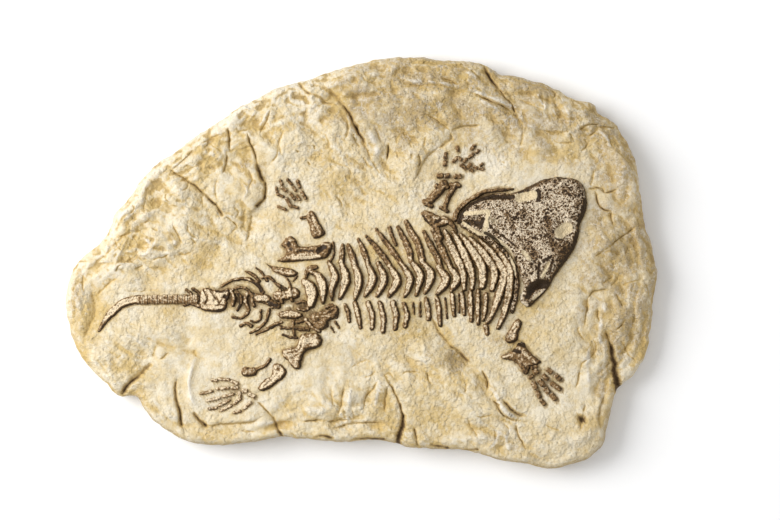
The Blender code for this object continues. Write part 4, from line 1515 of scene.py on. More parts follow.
# Washes of colour over the stone: half length, half width, turn and amount, and the middle. The dull brown
# washes are partly painted shade, as on the right side and in shaded patches.
WASHES = (
    *(("chalk", *oval) for oval in ovals("""
24 12 10 0.7: 310,84
9 8 0 0.8: 186,210
28 7 5 0.9: 424,93
28 30 0 0.6: 298,180
26 20 0 1.05: 490,158
22 24 0 0.5: 345,180
60 8 -38 0.6: 110,180
44 26 10 0.4: 225,396
24 16 0 0.5: 468,318
40 16 30 0.05: 510,340
40 8 0 0.4: 365,425
24 14 0 0.4: 570,440
14 5 30 0.7: 470,215
24 14 40 0.4: 340,130
92 44 0 0.05: 400,268
42 20 0 0.1: 300,262
60 24 0 0.25: 250,300
14 48 0 0.8: 72,285
70 8 -35 0.8: 230,118
14 5 0 0.6: 540,190
16 16 0 0.6: 596,350
5 20 0 0.8: 590,312
6 50 0 0.6: 645,250
""")),
    *(("rust", *oval) for oval in ovals("""
22 30 20 0.8: 210,150
12 26 0 0.5: 245,150
15 9 20 1: 457,77
8 4 40 0.9: 487,72
6 4 40 0.9: 515,111
22 10 55 0.9: 345,95
14 28 0 0.8: 96,315
32 30 0 0.55: 437,418
16 24 0 0.45: 384,400
26 8 50 0.8: 445,335
20 11 20 0.8: 416,332
20 8 -20 0.5: 160,205
18 10 30 0.5: 330,95
14 24 0 0.6: 590,345
20 8 -10 0.6: 130,240
34 10 8 0.75: 545,155
30 40 0 0.35: 600,290
24 14 0 0.6: 300,345
92 44 0 0.5: 400,268
40 18 0 0.6: 300,262
30 24 0 0.5: 300,345
50 22 0 0.3: 240,300
16 9 0 0.9: 570,120
7 7 0 0.9: 368,78
9 7 0 0.8: 128,244
14 12 55 1: 340,102
7 10 0 1: 612,311
6 5 0 0.9: 340,191
5 5 0 0.9: 98,272
13 10 0 0.8: 288,128
""")),
    *(("tan", *oval) for oval in ovals("""
20 12 15 0.9: 456,360
8 28 0 0.7: 262,178
40 16 8 0.25: 560,160
26 16 30 0.5: 515,95
60 8 0 0.5: 395,66
30 60 0 0.3: 585,270
12 30 0 0.6: 612,375
30 12 20 0.4: 500,440
85 30 0 0.35: 395,262
40 40 40 0.5: 470,262
30 40 0 0.4: 300,300
30 70 30 0.16: 84,250
26 40 10 0.55: 612,225
30 30 0 0.35: 600,300
22 18 0 0.7: 382,100
8 10 50 0.6: 445,110
10 34 0 0.6: 600,400
5 30 0 0.9: 655,272
20 10 10 1: 445,359
10 24 -10 0.7: 245,178
14 22 0 0.4: 84,325
12 8 20 0: 457,77
16 9 30 0.8: 419,333
30 10 30 0.45: 500,342
8 8 0 0: 368,78
12 9 55 0: 341,102
26 6 5 0: 425,93
8 60 0 0.5: 76,290
7 14 20 1: 597,214
10 6 0 0.9: 603,243
12 6 -30 0.9: 611,266
6 9 0 0.8: 622,205
""")),
)
# Flatter plates of stone: half length, half width, turn and smoothness, and the middle.
PLATES = ovals("""
46 26 8 .75: 436,418
60 16 8 .7: 540,446
34 22 80 .6: 598,420
40 12 3 .5: 330,432
60 20 12 .6: 215,428
50 30 40 .45: 165,385
50 26 0 .5: 250,352
40 30 0 .4: 560,330
""")
# Painted shade and grime in the gaps between bones: half length, half width, turn and amount, and the
# middle.
GAP_GRIME_AND_SHADE = ovals("""
40 28 48 1.05: 484,258
30 9 -26 1.1: 484,199
16 22 0 .9: 446,236
26 20 0 .9: 480,302
36 24 0 .9: 304,312
75 16 4 .2: 400,250
44 18 0 .95: 236,298
24 30 0 .4: 448,190
40 14 0 .5: 290,250
30 28 0 .6: 520,355
30 22 0 .5: 300,350
""")
# Whiter beds: half length, half width and turn, and the middle.
BEDS = ovals("""
34 18 20: 305,110
46 28 0: 470,160
34 28 0: 290,195
44 24 10: 225,396
34 26 0: 552,392
""")


@dataclass
class Raster:
    """A grid of places on the sheet, and how to read fields that are stored on it.

    Args:
        low: the sheet place of its first cell.
        high: the sheet place of its last.
        cell: its spacing.
    """

    low: tuple[float, float] = (52.0, 44.0)
    high: tuple[float, float] = (672.0, 484.0)
    cell: float = 1.0
    x: Array = field(init=False)
    y: Array = field(init=False)

    def __post_init__(self) -> None:
        """Lay the grid out."""
        columns = np.arange(self.low[0], self.high[0] + self.cell / 2, self.cell)
        rows = np.arange(self.low[1], self.high[1] + self.cell / 2, self.cell)
        self.x, self.y = np.meshgrid(columns, rows)

    def window(self, low: Sequence[float], high: Sequence[float], margin: float) -> tuple[slice, slice]:
        """The rows and columns of a box on the sheet with a margin round it."""
        spans = []
        for axis, count in ((1, self.x.shape[0]), (0, self.x.shape[1])):
            first = int((low[axis] - margin - self.low[axis]) / self.cell)
            last = int((high[axis] + margin - self.low[axis]) / self.cell) + 2
            spans.append(slice(max(0, first), min(count, last)))
        return tuple(spans)

    def read(self, values: Array, x: Array, y: Array) -> Array:
        """A field's value at any places, between the cells in a straight line."""
        u = np.clip((x - self.low[0]) / self.cell, 0, self.x.shape[1] - 1.001)
        v = np.clip((y - self.low[1]) / self.cell, 0, self.x.shape[0] - 1.001)
        column, row = u.astype(int), v.astype(int)
        du, dv = u - column, v - row
        near = values[row, column] * (1 - du) + values[row, column + 1] * du
        far = values[row + 1, column] * (1 - du) + values[row + 1, column + 1] * du
        return near * (1 - dv) + far * dv


def part_line(part: Stroke | Plate) -> Array:
    """The finely stepped middle line of a stroke, or outline of a plate."""
    if isinstance(part, Stroke):
        return smooth_line(part.points, 2.0)
    return smooth_line(part.outline, 2.2, closed=True)


def part_depth(part: Stroke | Plate, line: Array, x: Array, y: Array
               ) -> tuple[Array, Array]:
    """How far inside a part's edge places lie, and their distance from a stroke's middle line."""
    if isinstance(part, Plate):
        return outline_distance(line, x, y), np.full(x.shape, 99.0)
    distance, along, _ = line_coordinates(line, x, y)
    width = part.start + (part.end - part.start) * along + part.belly * np.sin(math.pi * along)
    return width - distance, distance


@dataclass
class Terrain:
    """The stone's top: the solid's own rise and fall with its creases, folds and grain.

    Args:
        slab: the frame's slab.
        parts: every stroke and plate of every bone, which calm the stone round them and have painted shade
            and grime laid beside them.
        raster: the grid that the fields are kept on.
        coarse: the grid on which the solid's top is felt from above.
        roll_width: how far in the slab's edge is rounded.
        edge_step: spacing of the outline's points.
        calm_reach: how far from a bone the folds have their full height.
        rim_band: heights between which the solid's widest line lies.
        rim_margin: how near the edge the solid's top is not felt.
        felt_from: the height from which it is felt.
    """

    slab: Piece
    parts: Sequence[Stroke | Plate]
    raster: Raster = field(default_factory=Raster)
    coarse: Raster = field(default_factory=lambda: Raster(cell=4.0))
    roll_width: float = 26.0
    edge_step: float = 1.6
    calm_reach: float = 36.0
    rim_band: tuple[float, float] = (12.5, 21.5)
    rim_margin: float = 7.0
    felt_from: float = 200.0

    def __post_init__(self) -> None:
        """Work out the outline and all the fields."""
        self.lumps = Lattice(31)
        self._feel_top(self._trace_rim())
        self._find_bones()
        self._raise_folds()
        self._find_hollows()
        self._shade_gaps()
        self._colour_beds()
        self._wash()

    def _trace_rim(self) -> Array:
        """Find the solid's widest line, and keep its height and a broken outline.

        Returns:
            The smooth outline.
        """
        sheet = Sheet.from_metres(np.array([vertex.co for vertex in self.slab.data.vertices]))
        rim = sheet[(sheet[:, 2] > self.rim_band[0]) & (sheet[:, 2] < self.rim_band[1])]
        turn = Sheet.bearing(rim[:, 0], rim[:, 1])
        rim = rim[np.argsort(turn)]
        apart = np.linalg.norm(rim[:, :2] - np.roll(rim[:, :2], 1, axis=0), axis=1) > 1.0
        rim = rim[apart]
        self.rim_turns = np.sort(turn)[apart]
        self.rim_heights = rim[:, 2]
        edge = smooth_line([tuple(spot) for spot in rim[:, :2]], self.edge_step, closed=True)
        x, y = edge[:, 0], edge[:, 1]
        wave = facets(77, x, y, 20.0) * 1.3 + facets(78, x, y, 8.0)
        wave += Lattice(11).wave(x, y, 5.0) * 0.4
        self.edge = edge + Sheet.outward(edge) * (wave - 0.4)[:, None]
        return edge

    def _feel_top(self, edge: Array) -> None:
        """Keep the level of the solid's top, freed of the roll at its edge.

        Args:
            edge: the smooth outline.
        """
        solid = self.slab.data
        tree = BVHTree.FromPolygons([tuple(vertex.co) for vertex in solid.vertices],
                                    [list(face.vertices) for face in solid.polygons])
        grid = self.coarse
        distance = outline_distance(edge[::2], grid.x, grid.y)
        level = np.zeros(grid.x.shape)
        weight = np.zeros(grid.x.shape)
        for row, column in zip(*np.where(distance > self.rim_margin)):
            x, y = grid.x[row, column], grid.y[row, column]
            origin = Sheet.to_metres(x, y, np.array(self.felt_from))
            hit = tree.ray_cast(Vector(origin), Vector((0, 0, -1)))[0]
            low = self.rim_height(np.array([x]), np.array([y]))[0]
            share = float(shoulder(np.array([distance[row, column]]), self.roll_width)[0])
            level[row, column] = low + (hit.z / MM - low) / share
            weight[row, column] = 1.0
        spread, cover = blurred(level * weight, 1.4), blurred(weight, 1.4)
        wide, wide_cover = blurred(level * weight, 6.0), blurred(weight, 6.0)
        far = wide / np.maximum(wide_cover, 1e-4)
        level = np.where(cover > 0.02, spread / np.maximum(cover, 1e-4), far)
        self.level = grid.read(level, self.raster.x, self.raster.y)
        fine = Raster(cell=2.0)
        inside = outline_distance(self.edge, fine.x, fine.y)
        self.inside = fine.read(inside, self.raster.x, self.raster.y)

    def rim_height(self, x: Array, y: Array) -> Array:
        """Height of the widest line in the direction of the places."""
        return np.interp(Sheet.bearing(x, y), self.rim_turns, self.rim_heights, period=2 * math.pi)

    def _find_bones(self) -> None:
        """How far each place is from a bone (negative inside one), and how crowded it is."""
        self.bone_gap = np.full(self.raster.x.shape, 60.0)
        for part in self.parts:
            line = part_line(part)
            here = self.raster.window(line.min(0), line.max(0), 50.0)
            line = line[::2] if len(line) > 8 else line
            gap = -part_depth(part, line, self.raster.x[here], self.raster.y[here])[0]
            self.bone_gap[here] = np.minimum(self.bone_gap[here], gap)
        self.crowd = blurred((self.bone_gap < 0.5).astype(float), 4.5)

    def _raise_folds(self) -> None:
        """Folds, beds, gravel and grain over the level top, and the gaps between the bones."""
        x, y, lumps = self.raster.x, self.raster.y, self.lumps
        calm = 0.16 + 0.84 * ease(self.bone_gap, 5.0, self.calm_reach)
        rim_share = 1.0 - ease(self.inside, 16.0, 58.0)
        detail = self._crumple(calm, rim_share)
        self.plain = np.zeros(x.shape)
        for *oval, amount in PLATES:
            self.plain = np.maximum(self.plain, amount * oval_bump(x, y, oval, 1.5))
        detail *= 1.0 - self.plain
        layered = (rim_share * 0.8 + 0.2) * calm * ease(lumps.wave(x + 800, y, 48.0), -0.5, 0.2)
        detail += (terraced(detail + lumps.wave(x, y + 70, 90.0), 1.9) - detail) * 0.75 * layered
        detail += lumps.cloud(x, y, 9.0, 3) * 0.3 * (1.3 - calm)
        gravel = ease(lumps.wave(x + 300, y, 60.0), 0.0, 0.5)
        gravel = np.clip(gravel + oval_bump(x, y, ((455, 385), 56, 22, 0)), 0, 1)
        detail += Lattice(32).cloud(x, y, 4.0, 3) * (0.14 + 0.36 * gravel) * (0.5 + 0.5 * calm)
        detail -= ease(self.crowd, 0.3, 0.75) * ease(self.bone_gap, -1.0, 1.5) * 0.9
        self.detail = detail
        self.roll_noise = np.clip(lumps.wave(x, y + 200, 60.0), -1, 1)

    def _crumple(self, calm: Array, rim_share: Array) -> Array:
        """The crumpled folds: those of the whole top, those of its rim, and the named places.

        Args:
            calm: how high folds may be, lower beside the bones.
            rim_share: how far the places belong to the rim.

        Returns:
            Their relief.
        """
        x, y = self.raster.x, self.raster.y
        along, across = x * 0.82 + y * 0.57, y * 0.82 - x * 0.57
        around = Sheet.bearing(x, y) * 250.0
        strong = 0.35 + 0.65 * ease(self.lumps.wave(x + 500, y, 75.0), -0.4, 0.35)
        relief = crumpled(200, along * 0.5, across, 30.0, 2) * 5.4 * calm * (1 - 0.5 * rim_share)
        relief += crumpled(300, around * 0.4, self.inside, 16.0, 3) * 4.8 * calm * rim_share
        relief += crumpled(380, x, y * 0.9, 36.0, 2) * 3.8 * (0.2 + 0.8 * calm)
        relief += crumpled(340, along * 0.6, across, 11.0, 2) * 2.0 * calm * strong
        for index, (middle, long, wide, turn, size, stretch, high) in enumerate(CRUMPLES):
            side = math.radians(turn)
            here = self.raster.window(middle, middle, max(long, wide) * 1.6)
            px, py = x[here], y[here]
            u = (px * math.cos(side) + py * math.sin(side)) / stretch
            v = py * math.cos(side) - px * math.sin(side)
            window = oval_bump(px, py, (middle, long, wide, turn), 1.5) * (0.3 + 0.7 * calm[here])
            relief[here] += crumpled(600 + 3 * index, u, v, size, 3) * high * 1.5 * window
        return relief

    def _find_hollows(self) -> None:
        """Small hollows and broad valleys of the relief, and how dark they are."""
        self.hollow = np.clip((blurred(self.detail, 1.8) - self.detail) / 0.55, -1, 1)
        self.valley = np.clip((blurred(self.detail, 6.0) - self.detail) / 2.0, -1, 1)
        recess = np.clip(self.hollow, 0, 1) * 0.65 + np.clip(self.valley, 0, 1) * 0.45
        self.recess = np.clip(recess, 0, 1)
        self.recess *= (0.3 + 0.7 * ease(self.bone_gap, 0.5, 10.0)) * (1.0 - 0.6 * self.plain)
        self.recess *= 1.0 - 0.4 * ease(self.raster.y, 250.0, 400.0)

    def _shade_gaps(self) -> None:
        """Brown beside the bones: painted shade, most on the side away from the light, and painted shade
        with grime in the crowded gaps.
        """
        x, y = self.raster.x, self.raster.y
        # Painted shade beside each bone, wider and darker on the side away from the light.
        slope_y, slope_x = np.gradient(blurred(self.bone_gap, 1.0))
        shaded_side = np.clip(away_from_light_share(slope_x, slope_y), -1, 1)
        gap = np.clip(self.bone_gap, 0, None)
        packed = ease(self.crowd, 0.4, 0.75) * bell(gap / 5.0)
        self.gap_shade_and_grime = bell(gap / (1.5 + 0.9 * shaded_side)) * (0.36 + 0.3 * shaded_side) + packed * 0.1
        # Painted shade and grime in the crowded gaps that the table names.
        close = bell(np.clip(self.bone_gap - 0.8, 0, None) / 3.2) * ease(self.crowd, 0.06, 0.32)
        uneven = 0.8 + 0.5 * self.lumps.cloud(x, y + 40, 7.0, 2)
        for *oval, amount in GAP_GRIME_AND_SHADE:
            shade_and_grime_mask = oval_bump(x, y, oval, 1.4) * close * amount * uneven
            self.gap_shade_and_grime = np.maximum(self.gap_shade_and_grime, shade_and_grime_mask)
        self.gap_shade_and_grime = np.clip(self.gap_shade_and_grime, 0, 1)

    def _colour_beds(self) -> None:
        """Where the stone is dull, chalky and rusty; the dull brown is paint over the top and painted shade
        on the right side and along the rim, strongest at the bottom.
        """
        x, y, cloud = self.raster.x, self.raster.y, self.lumps.cloud
        # Dull brown over the top, and painted shade on the right side, away from the light.
        shade = ease(-(y - 150 + (x - 400) * 0.05), -40, 50) * ease(x, 300, 380)
        shade = np.maximum(shade, ease(x, 565, 615) * ease(-y, -400, -300) * 0.85)
        self.tan = np.clip(shade * (0.75 + cloud(x, y + 70, 50.0, 2) * 0.5), 0, 1)
        # Painted shade along the rim, strongest on the bottom edge.
        wall = (1.0 - ease(self.inside, 0.0, 5.0)) * (0.25 + 0.75 * ease(y, 380.0, 420.0))
        self.tan = np.maximum(self.tan, 0.85 * wall)
        white = 0.45 * (1.0 - ease(self.bone_gap, 5.0, 30.0))
        for oval in BEDS:
            white = np.maximum(white, oval_bump(x, y, oval, 1.25))
        crests = np.clip(-self.hollow, 0, 1) * 0.5 + np.clip(-self.valley, 0, 1) * 0.25
        self.chalk = np.clip(white * 0.55 + cloud(x, y, 18.0, 3) * 0.35 + crests, 0, 1)
        left = ease(420.0 - x, 0.0, 120.0) * ease(300.0 - y, -60.0, 60.0)
        rim = 1.0 - ease(self.inside, 5.0, 20.0)
        rim = rim * left * (0.7 + cloud(x, y + 33, 12.0, 2) * 0.6)
        self.chalk = np.clip(self.chalk + rim * 0.45, 0, 1)
        border = 1.0 - ease(self.inside, 2.0, 26.0)
        self.rust = border * 0.12 - rim * 0.8 + cloud(x + 90, y, 40.0, 3) * 0.5
        self.rust += np.clip(self.valley, 0, 1) * 0.3

    def _wash(self) -> None:
        """Lay the washes of colour over those beds."""
        x, y = self.raster.x, self.raster.y
        uneven = 0.75 + 0.7 * self.lumps.cloud(x, y + 150, 14.0, 3)
        for name, *oval, amount in WASHES:
            window = oval_bump(x, y, oval, 1.35) * uneven
            below = getattr(self, name)
            setattr(self, name, below * (1 - np.clip(window, 0, 1)) + amount * window)
        for name in ("chalk", "rust", "tan"):
            setattr(self, name, np.clip(getattr(self, name), 0, 1))

    def height(self, x: Array, y: Array) -> Array:
        """The stone's height in millimetres at places on the sheet."""
        inside = self.raster.read(self.inside, x, y)
        low = self.rim_height(x, y)
        level = self.raster.read(self.level, x, y)
        detail = self.raster.read(self.detail, x, y)
        fade = ease(inside, -1.0, 12.0)
        cuts = self.cuts(x, y)[0] * ease(inside, -4.0, 5.0)
        crisp = self.roll_width * (0.62 + 0.3 * self.raster.read(self.roll_noise, x, y))
        crisp = crisp * (1.0 - 0.5 * ease(y, 360.0, 420.0)) * (1.0 - 0.3 * ease(x, 590.0, 640.0))
        return low + (level - low) * shoulder(inside, crisp) + detail * fade + cuts

    def cuts(self, x: Array, y: Array) -> tuple[Array, Array]:
        """The rise of all creases at places on the sheet, and how dark their bottoms are."""
        rise, mark = np.zeros(x.shape), np.zeros(x.shape)
        for crease in CREASES:
            corners = np.array(crease.points)
            low, high = corners.min(0) - crease.REACH, corners.max(0) + crease.REACH
            near = (x > low[0]) & (x < high[0]) & (y > low[1]) & (y < high[1])
            if near.any():
                lift, dark = crease.relief(x[near], y[near])
                rise[near] += lift
                mark[near] = np.where(np.abs(dark) > np.abs(mark[near]), dark, mark[near])
        return rise, mark


# ------------------------------------------------------------------ mesh building
def placed(name: str, data: Any) -> Piece:
    """A new object in the scene."""
    obj = bpy.data.objects.new(name, data)
    bpy.context.scene.collection.objects.link(obj)
    return obj


def mesh_of(name: str, points: Array, faces: list[Array]) -> Piece:
    """An object from points in metres and faces.

    Args:
        name: the piece's name.
        points: one row per vertex.
        faces: arrays of vertex numbers, one row per face; each array has one face size.

    Returns:
        The new object, smooth shaded.
    """
    mesh = bpy.data.meshes.new(name)
    loops = np.concatenate([group.ravel() for group in faces])
    sizes = np.concatenate([np.full(len(group), group.shape[1]) for group in faces])
    mesh.vertices.add(len(points))
    mesh.vertices.foreach_set("co", points.astype(np.float32).ravel())
    mesh.loops.add(len(loops))
    mesh.loops.foreach_set("vertex_index", loops.astype(np.int32))
    mesh.polygons.add(len(sizes))
    mesh.polygons.foreach_set("loop_start", (np.cumsum(sizes) - sizes).astype(np.int32))
    mesh.update(calc_edges=True)
    mesh.validate()
    mesh.shade_smooth()
    obj = placed(name, mesh)
    log.info("%s: %d vertices, %d triangles", name, len(points), int((sizes - 2).sum()))
    return obj


def store(obj: Piece, name: str, values: Array) -> None:
    """Keep a number for every vertex of a mesh."""
    attribute = obj.data.attributes.new(name, "FLOAT", "POINT")
    attribute.data.foreach_set("value", np.clip(values, 0.0, 1.0).astype(np.float32).ravel())


def vertex_arrays(obj: Piece) -> tuple[Array, Array]:
    """Every vertex's sheet place and its normal."""
    count = len(obj.data.vertices)
    places, normals = np.zeros(count * 3), np.zeros(count * 3)
    obj.data.vertices.foreach_get("co", places)
    obj.data.vertices.foreach_get("normal", normals)
    return Sheet.from_metres(places.reshape(-1, 3)), normals.reshape(-1, 3)


# The least thickness of a bone's mesh.
THINNEST = 0.3


def relief_mesh(name: str, x: Array, y: Array, top: Array, low: Array,
                kept: Array) -> tuple[Piece, Array]:
    """A closed mesh from the kept cells of a grid: a top, an underside and walls between.

    Args:
        name: the piece's name.
        x: sheet x of the grid's corners.
        y: sheet y of the grid's corners.
        top: height of the top at each corner.
        low: height of the underside at each corner.
        kept: which cells are part of the piece.

    Returns:
        The object, and for each of its top vertices the number of its grid corner.
    """
    # Cells that touch only at a corner get one between them, so no edge has more than two faces.
    for _ in range(4):
        a, b, c, d = kept[:-1, :-1], kept[:-1, 1:], kept[1:, :-1], kept[1:, 1:]
        first, second = a & d & ~b & ~c, b & c & ~a & ~d
        kept[:-1, 1:] |= first
        kept[:-1, :-1] |= second
    rows, columns = np.where(kept)
    width = x.shape[1]
    corner = rows * width + columns
    quads = np.stack((corner, corner + width, corner + width + 1, corner + 1), axis=1)
    used, packed = np.unique(quads, return_inverse=True)
    quads = packed.reshape(-1, 4)
    count = len(used)
    flat = [values.ravel()[used] for values in (x, y, top, low)]
    upper = Sheet.to_metres(flat[0], flat[1], flat[2])
    lower = Sheet.to_metres(flat[0], flat[1], np.minimum(flat[3], flat[2] - THINNEST))
    starts = quads.ravel()
    ends = np.roll(quads, -1, axis=1).ravel()
    keys = starts.astype(np.int64) * count + ends
    border = ~np.isin(keys, ends.astype(np.int64) * count + starts)
    starts, ends = starts[border], ends[border]
    walls = np.stack((ends, starts, starts + count, ends + count), axis=1)
    faces = np.vstack((quads, quads[:, ::-1] + count, walls))
    return mesh_of(name, np.vstack((upper, lower)), [faces]), used


@dataclass
class BoneBuilder:
    """Turns bones into relief on the stone and paints how worn they are, with a painted highlight on the
    side facing the light and painted shade along their edges.

    Args:
        terrain: the stone.
        finish: the bones' material.
    """

    terrain: Terrain
    finish: bpy.types.Material
    margin: float = 9.0
    sink: float = 0.5
    flank: float = 1.1
    rim: float = 1.1
    root: float = 5.0

    def build(self, bone: Bone) -> Piece:
        """Build one bone from its parts.

        Args:
            bone: the bone.

        Returns:
            The finished object.
        """
        lines = [part_line(part) for part in bone.parts]
        low = np.min([line.min(0) for line in lines], axis=0) - self.margin
        high = np.max([line.max(0) for line in lines], axis=0) + self.margin
        x, y = np.meshgrid(*(np.arange(low[axis], high[axis], bone.step) for axis in (0, 1)))
        rough = Lattice(500 + sum(ord(letter) for letter in bone.node))
        rise, depth, peak, worn = self._heap(bone, lines, rough, x, y)
        # Which side of the bone faces away from the light: its skirt reaches further out there, and it gets
        # painted shade.
        slope_y, slope_x = np.gradient(blurred(depth, 1.5))
        shaded_side = np.clip(-away_from_light_share(slope_x, slope_y) / bone.step, -1, 1)
        flank = self.flank * np.clip(shaded_side, 0, 1)
        low_slope = 0.62 * np.clip(depth + flank, 0, None) + 0.15
        rise = np.where((depth < 1.2) & (depth > -flank), np.maximum(rise, low_slope), rise)
        fine = rough.cloud(x, y, 3.2, 3) * bone.rough + rough.wave(x, y, 5.5) * 0.5
        pits = bell(np.clip(1.0 - rough.folds(x, y, 2.6, 2.0, 30.0), 0, 1) * 1.6)
        inner = ease(depth, 0.2, 1.6)
        rise = rise + fine * inner - pits * bone.pits * inner
        ground = self.terrain.height(x, y)
        floor = np.minimum(blurred(ground, 3.0) - self.root, ground - 2.0)
        corner = depth > -self.rim - flank
        kept = corner[:-1, :-1] & corner[1:, :-1] & corner[:-1, 1:] & corner[1:, 1:]
        name = bone.node + "_relief" if bone.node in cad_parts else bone.node
        obj, used = relief_mesh(name, x, y, ground - self.sink + rise, floor, kept)
        x, y, rise, depth, peak, worn, shaded_side = (
            values.ravel()[used] for values in (x, y, rise, depth, peak, worn, shaded_side))
        marks = {mark: np.zeros(len(used)) for mark in Mark}
        for tint in bone.tints:
            marks[tint.mark] = np.maximum(marks[tint.mark], tint.strength(x, y))
        self.paint(obj, rise / peak, depth, shaded_side, bone.worn * worn, bone.shaded_side, marks)
        return obj

    def _heap(self, bone: Bone, lines: list[Array], rough: Lattice, x: Array,
              y: Array) -> tuple[Array, ...]:
        """Let a bone's strokes and plates grow into each other.

        Args:
            bone: the bone.
            lines: the line of each of its parts.
            rough: the unevenness that is its own.
            x: sheet x of the places.
            y: sheet y of the places.

        Returns:
            The rise, the depth inside the bone's edge, and the height of its top part and how worn that
            part is.
        """
        ragged = rough.wave(x, y, 8.0) * 0.5 + rough.wave(x, y, 4.0) * 0.5 + rough.wave(x, y, 1.9) * 0.3
        depth = np.full(x.shape, -50.0)
        rise = np.full(x.shape, -50.0)
        peak, worn = np.ones(x.shape), np.ones(x.shape)
        for part, line in zip(bone.parts, lines):
            inside, distance = part_depth(part, line, x, y)
            inside = inside + ragged
            if isinstance(part, Stroke):
                width = max(part.start, part.end)
                lift = part.rise * shoulder(inside, width * 0.85)
                lift -= part.groove * bell(distance / (width * 0.5))
            else:
                lift = self._plate_lift(part, inside, x, y)
            lift = np.where(inside > 0, lift, inside * 1.6)
            taller = lift > rise
            peak = np.where(taller, part.rise, peak)
            worn = np.where(taller, getattr(part, "worn", 1.0), worn)
            rise = np.where(taller, lift, rise)
            depth = np.maximum(depth, inside)
        return rise, depth, peak, worn

    @staticmethod
    def _plate_lift(part: Plate, inside: Array, x: Array, y: Array) -> Array:
        """Rise of a plate with its dips and furrows."""
        lift = part.rise * shoulder(inside, part.width)
        change = np.zeros(x.shape)
        for *oval, deep in part.dips:
            change -= deep * oval_bump(x, y, oval, 1.3)
        for points, width, deep in part.furrows:
            distance = line_coordinates(smooth_line(points, 2.0), x, y)[0]
            change -= deep * bell(distance / (width * 1.5))
        return lift + np.maximum(change, -0.88 * lift)

    def paint(self, obj: Piece, share: Array, depth: Array, shaded_side: Array,
              worn: Array, reach: float, marks: dict[Mark, Array]) -> None:
        """Store how worn pale and how dark a relief's top vertices are: real wearing and grime, with a
        painted highlight towards the light and painted shade along the edges and on the side away from it.

        Args:
            obj: the relief.
            share: their height as a share of the bone's own.
            depth: how far inside the bone's edge they are.
            shaded_side: which side of the bone they are on, 1 on the side away from the light, which gets
                painted shade.
            worn: how far a crest there is worn pale.
            reach: how far the painted shade reaches up that side.
            marks: strengths of the bone's tints.
        """
        _, normals = vertex_arrays(obj)
        count = len(depth)
        lean = lean_to_light(normals[:count])
        # Painted highlight: the pale crest is pushed towards the side facing the light, and faces that lean
        # towards the light are paler. Painted shade: the dark band along the bone's edge reaches further up
        # the side away from the light.
        start = 0.2 + (0.35 + 0.22 * reach) * (shaded_side + 1.0)
        crest = ease(depth, start, start + 1.9) * (0.5 + 0.5 * ease(share, 0.3, 0.9))
        wear_and_highlight = 0.16 + 1.1 * worn * crest + 0.22 * np.clip(lean, -1, 1)
        dark = 1.0 - ease(depth, -0.6 + 0.5 * shaded_side, 0.9 + reach * np.clip(shaded_side, -0.2, 1))
        wear_and_highlight = np.maximum(wear_and_highlight, marks[Mark.PALE]) - 0.55 * marks[Mark.DARK]
        dark = np.maximum(dark, ease(marks[Mark.DARK], 0.55, 1.0))
        below = np.zeros(count)
        store(obj, "wear_and_highlight", np.concatenate((wear_and_highlight, below)))
        store(obj, "dark", np.concatenate((dark, below)))
        store(obj, "cream", np.concatenate((marks[Mark.CREAM], below)))
        obj.data.materials.append(self.finish)


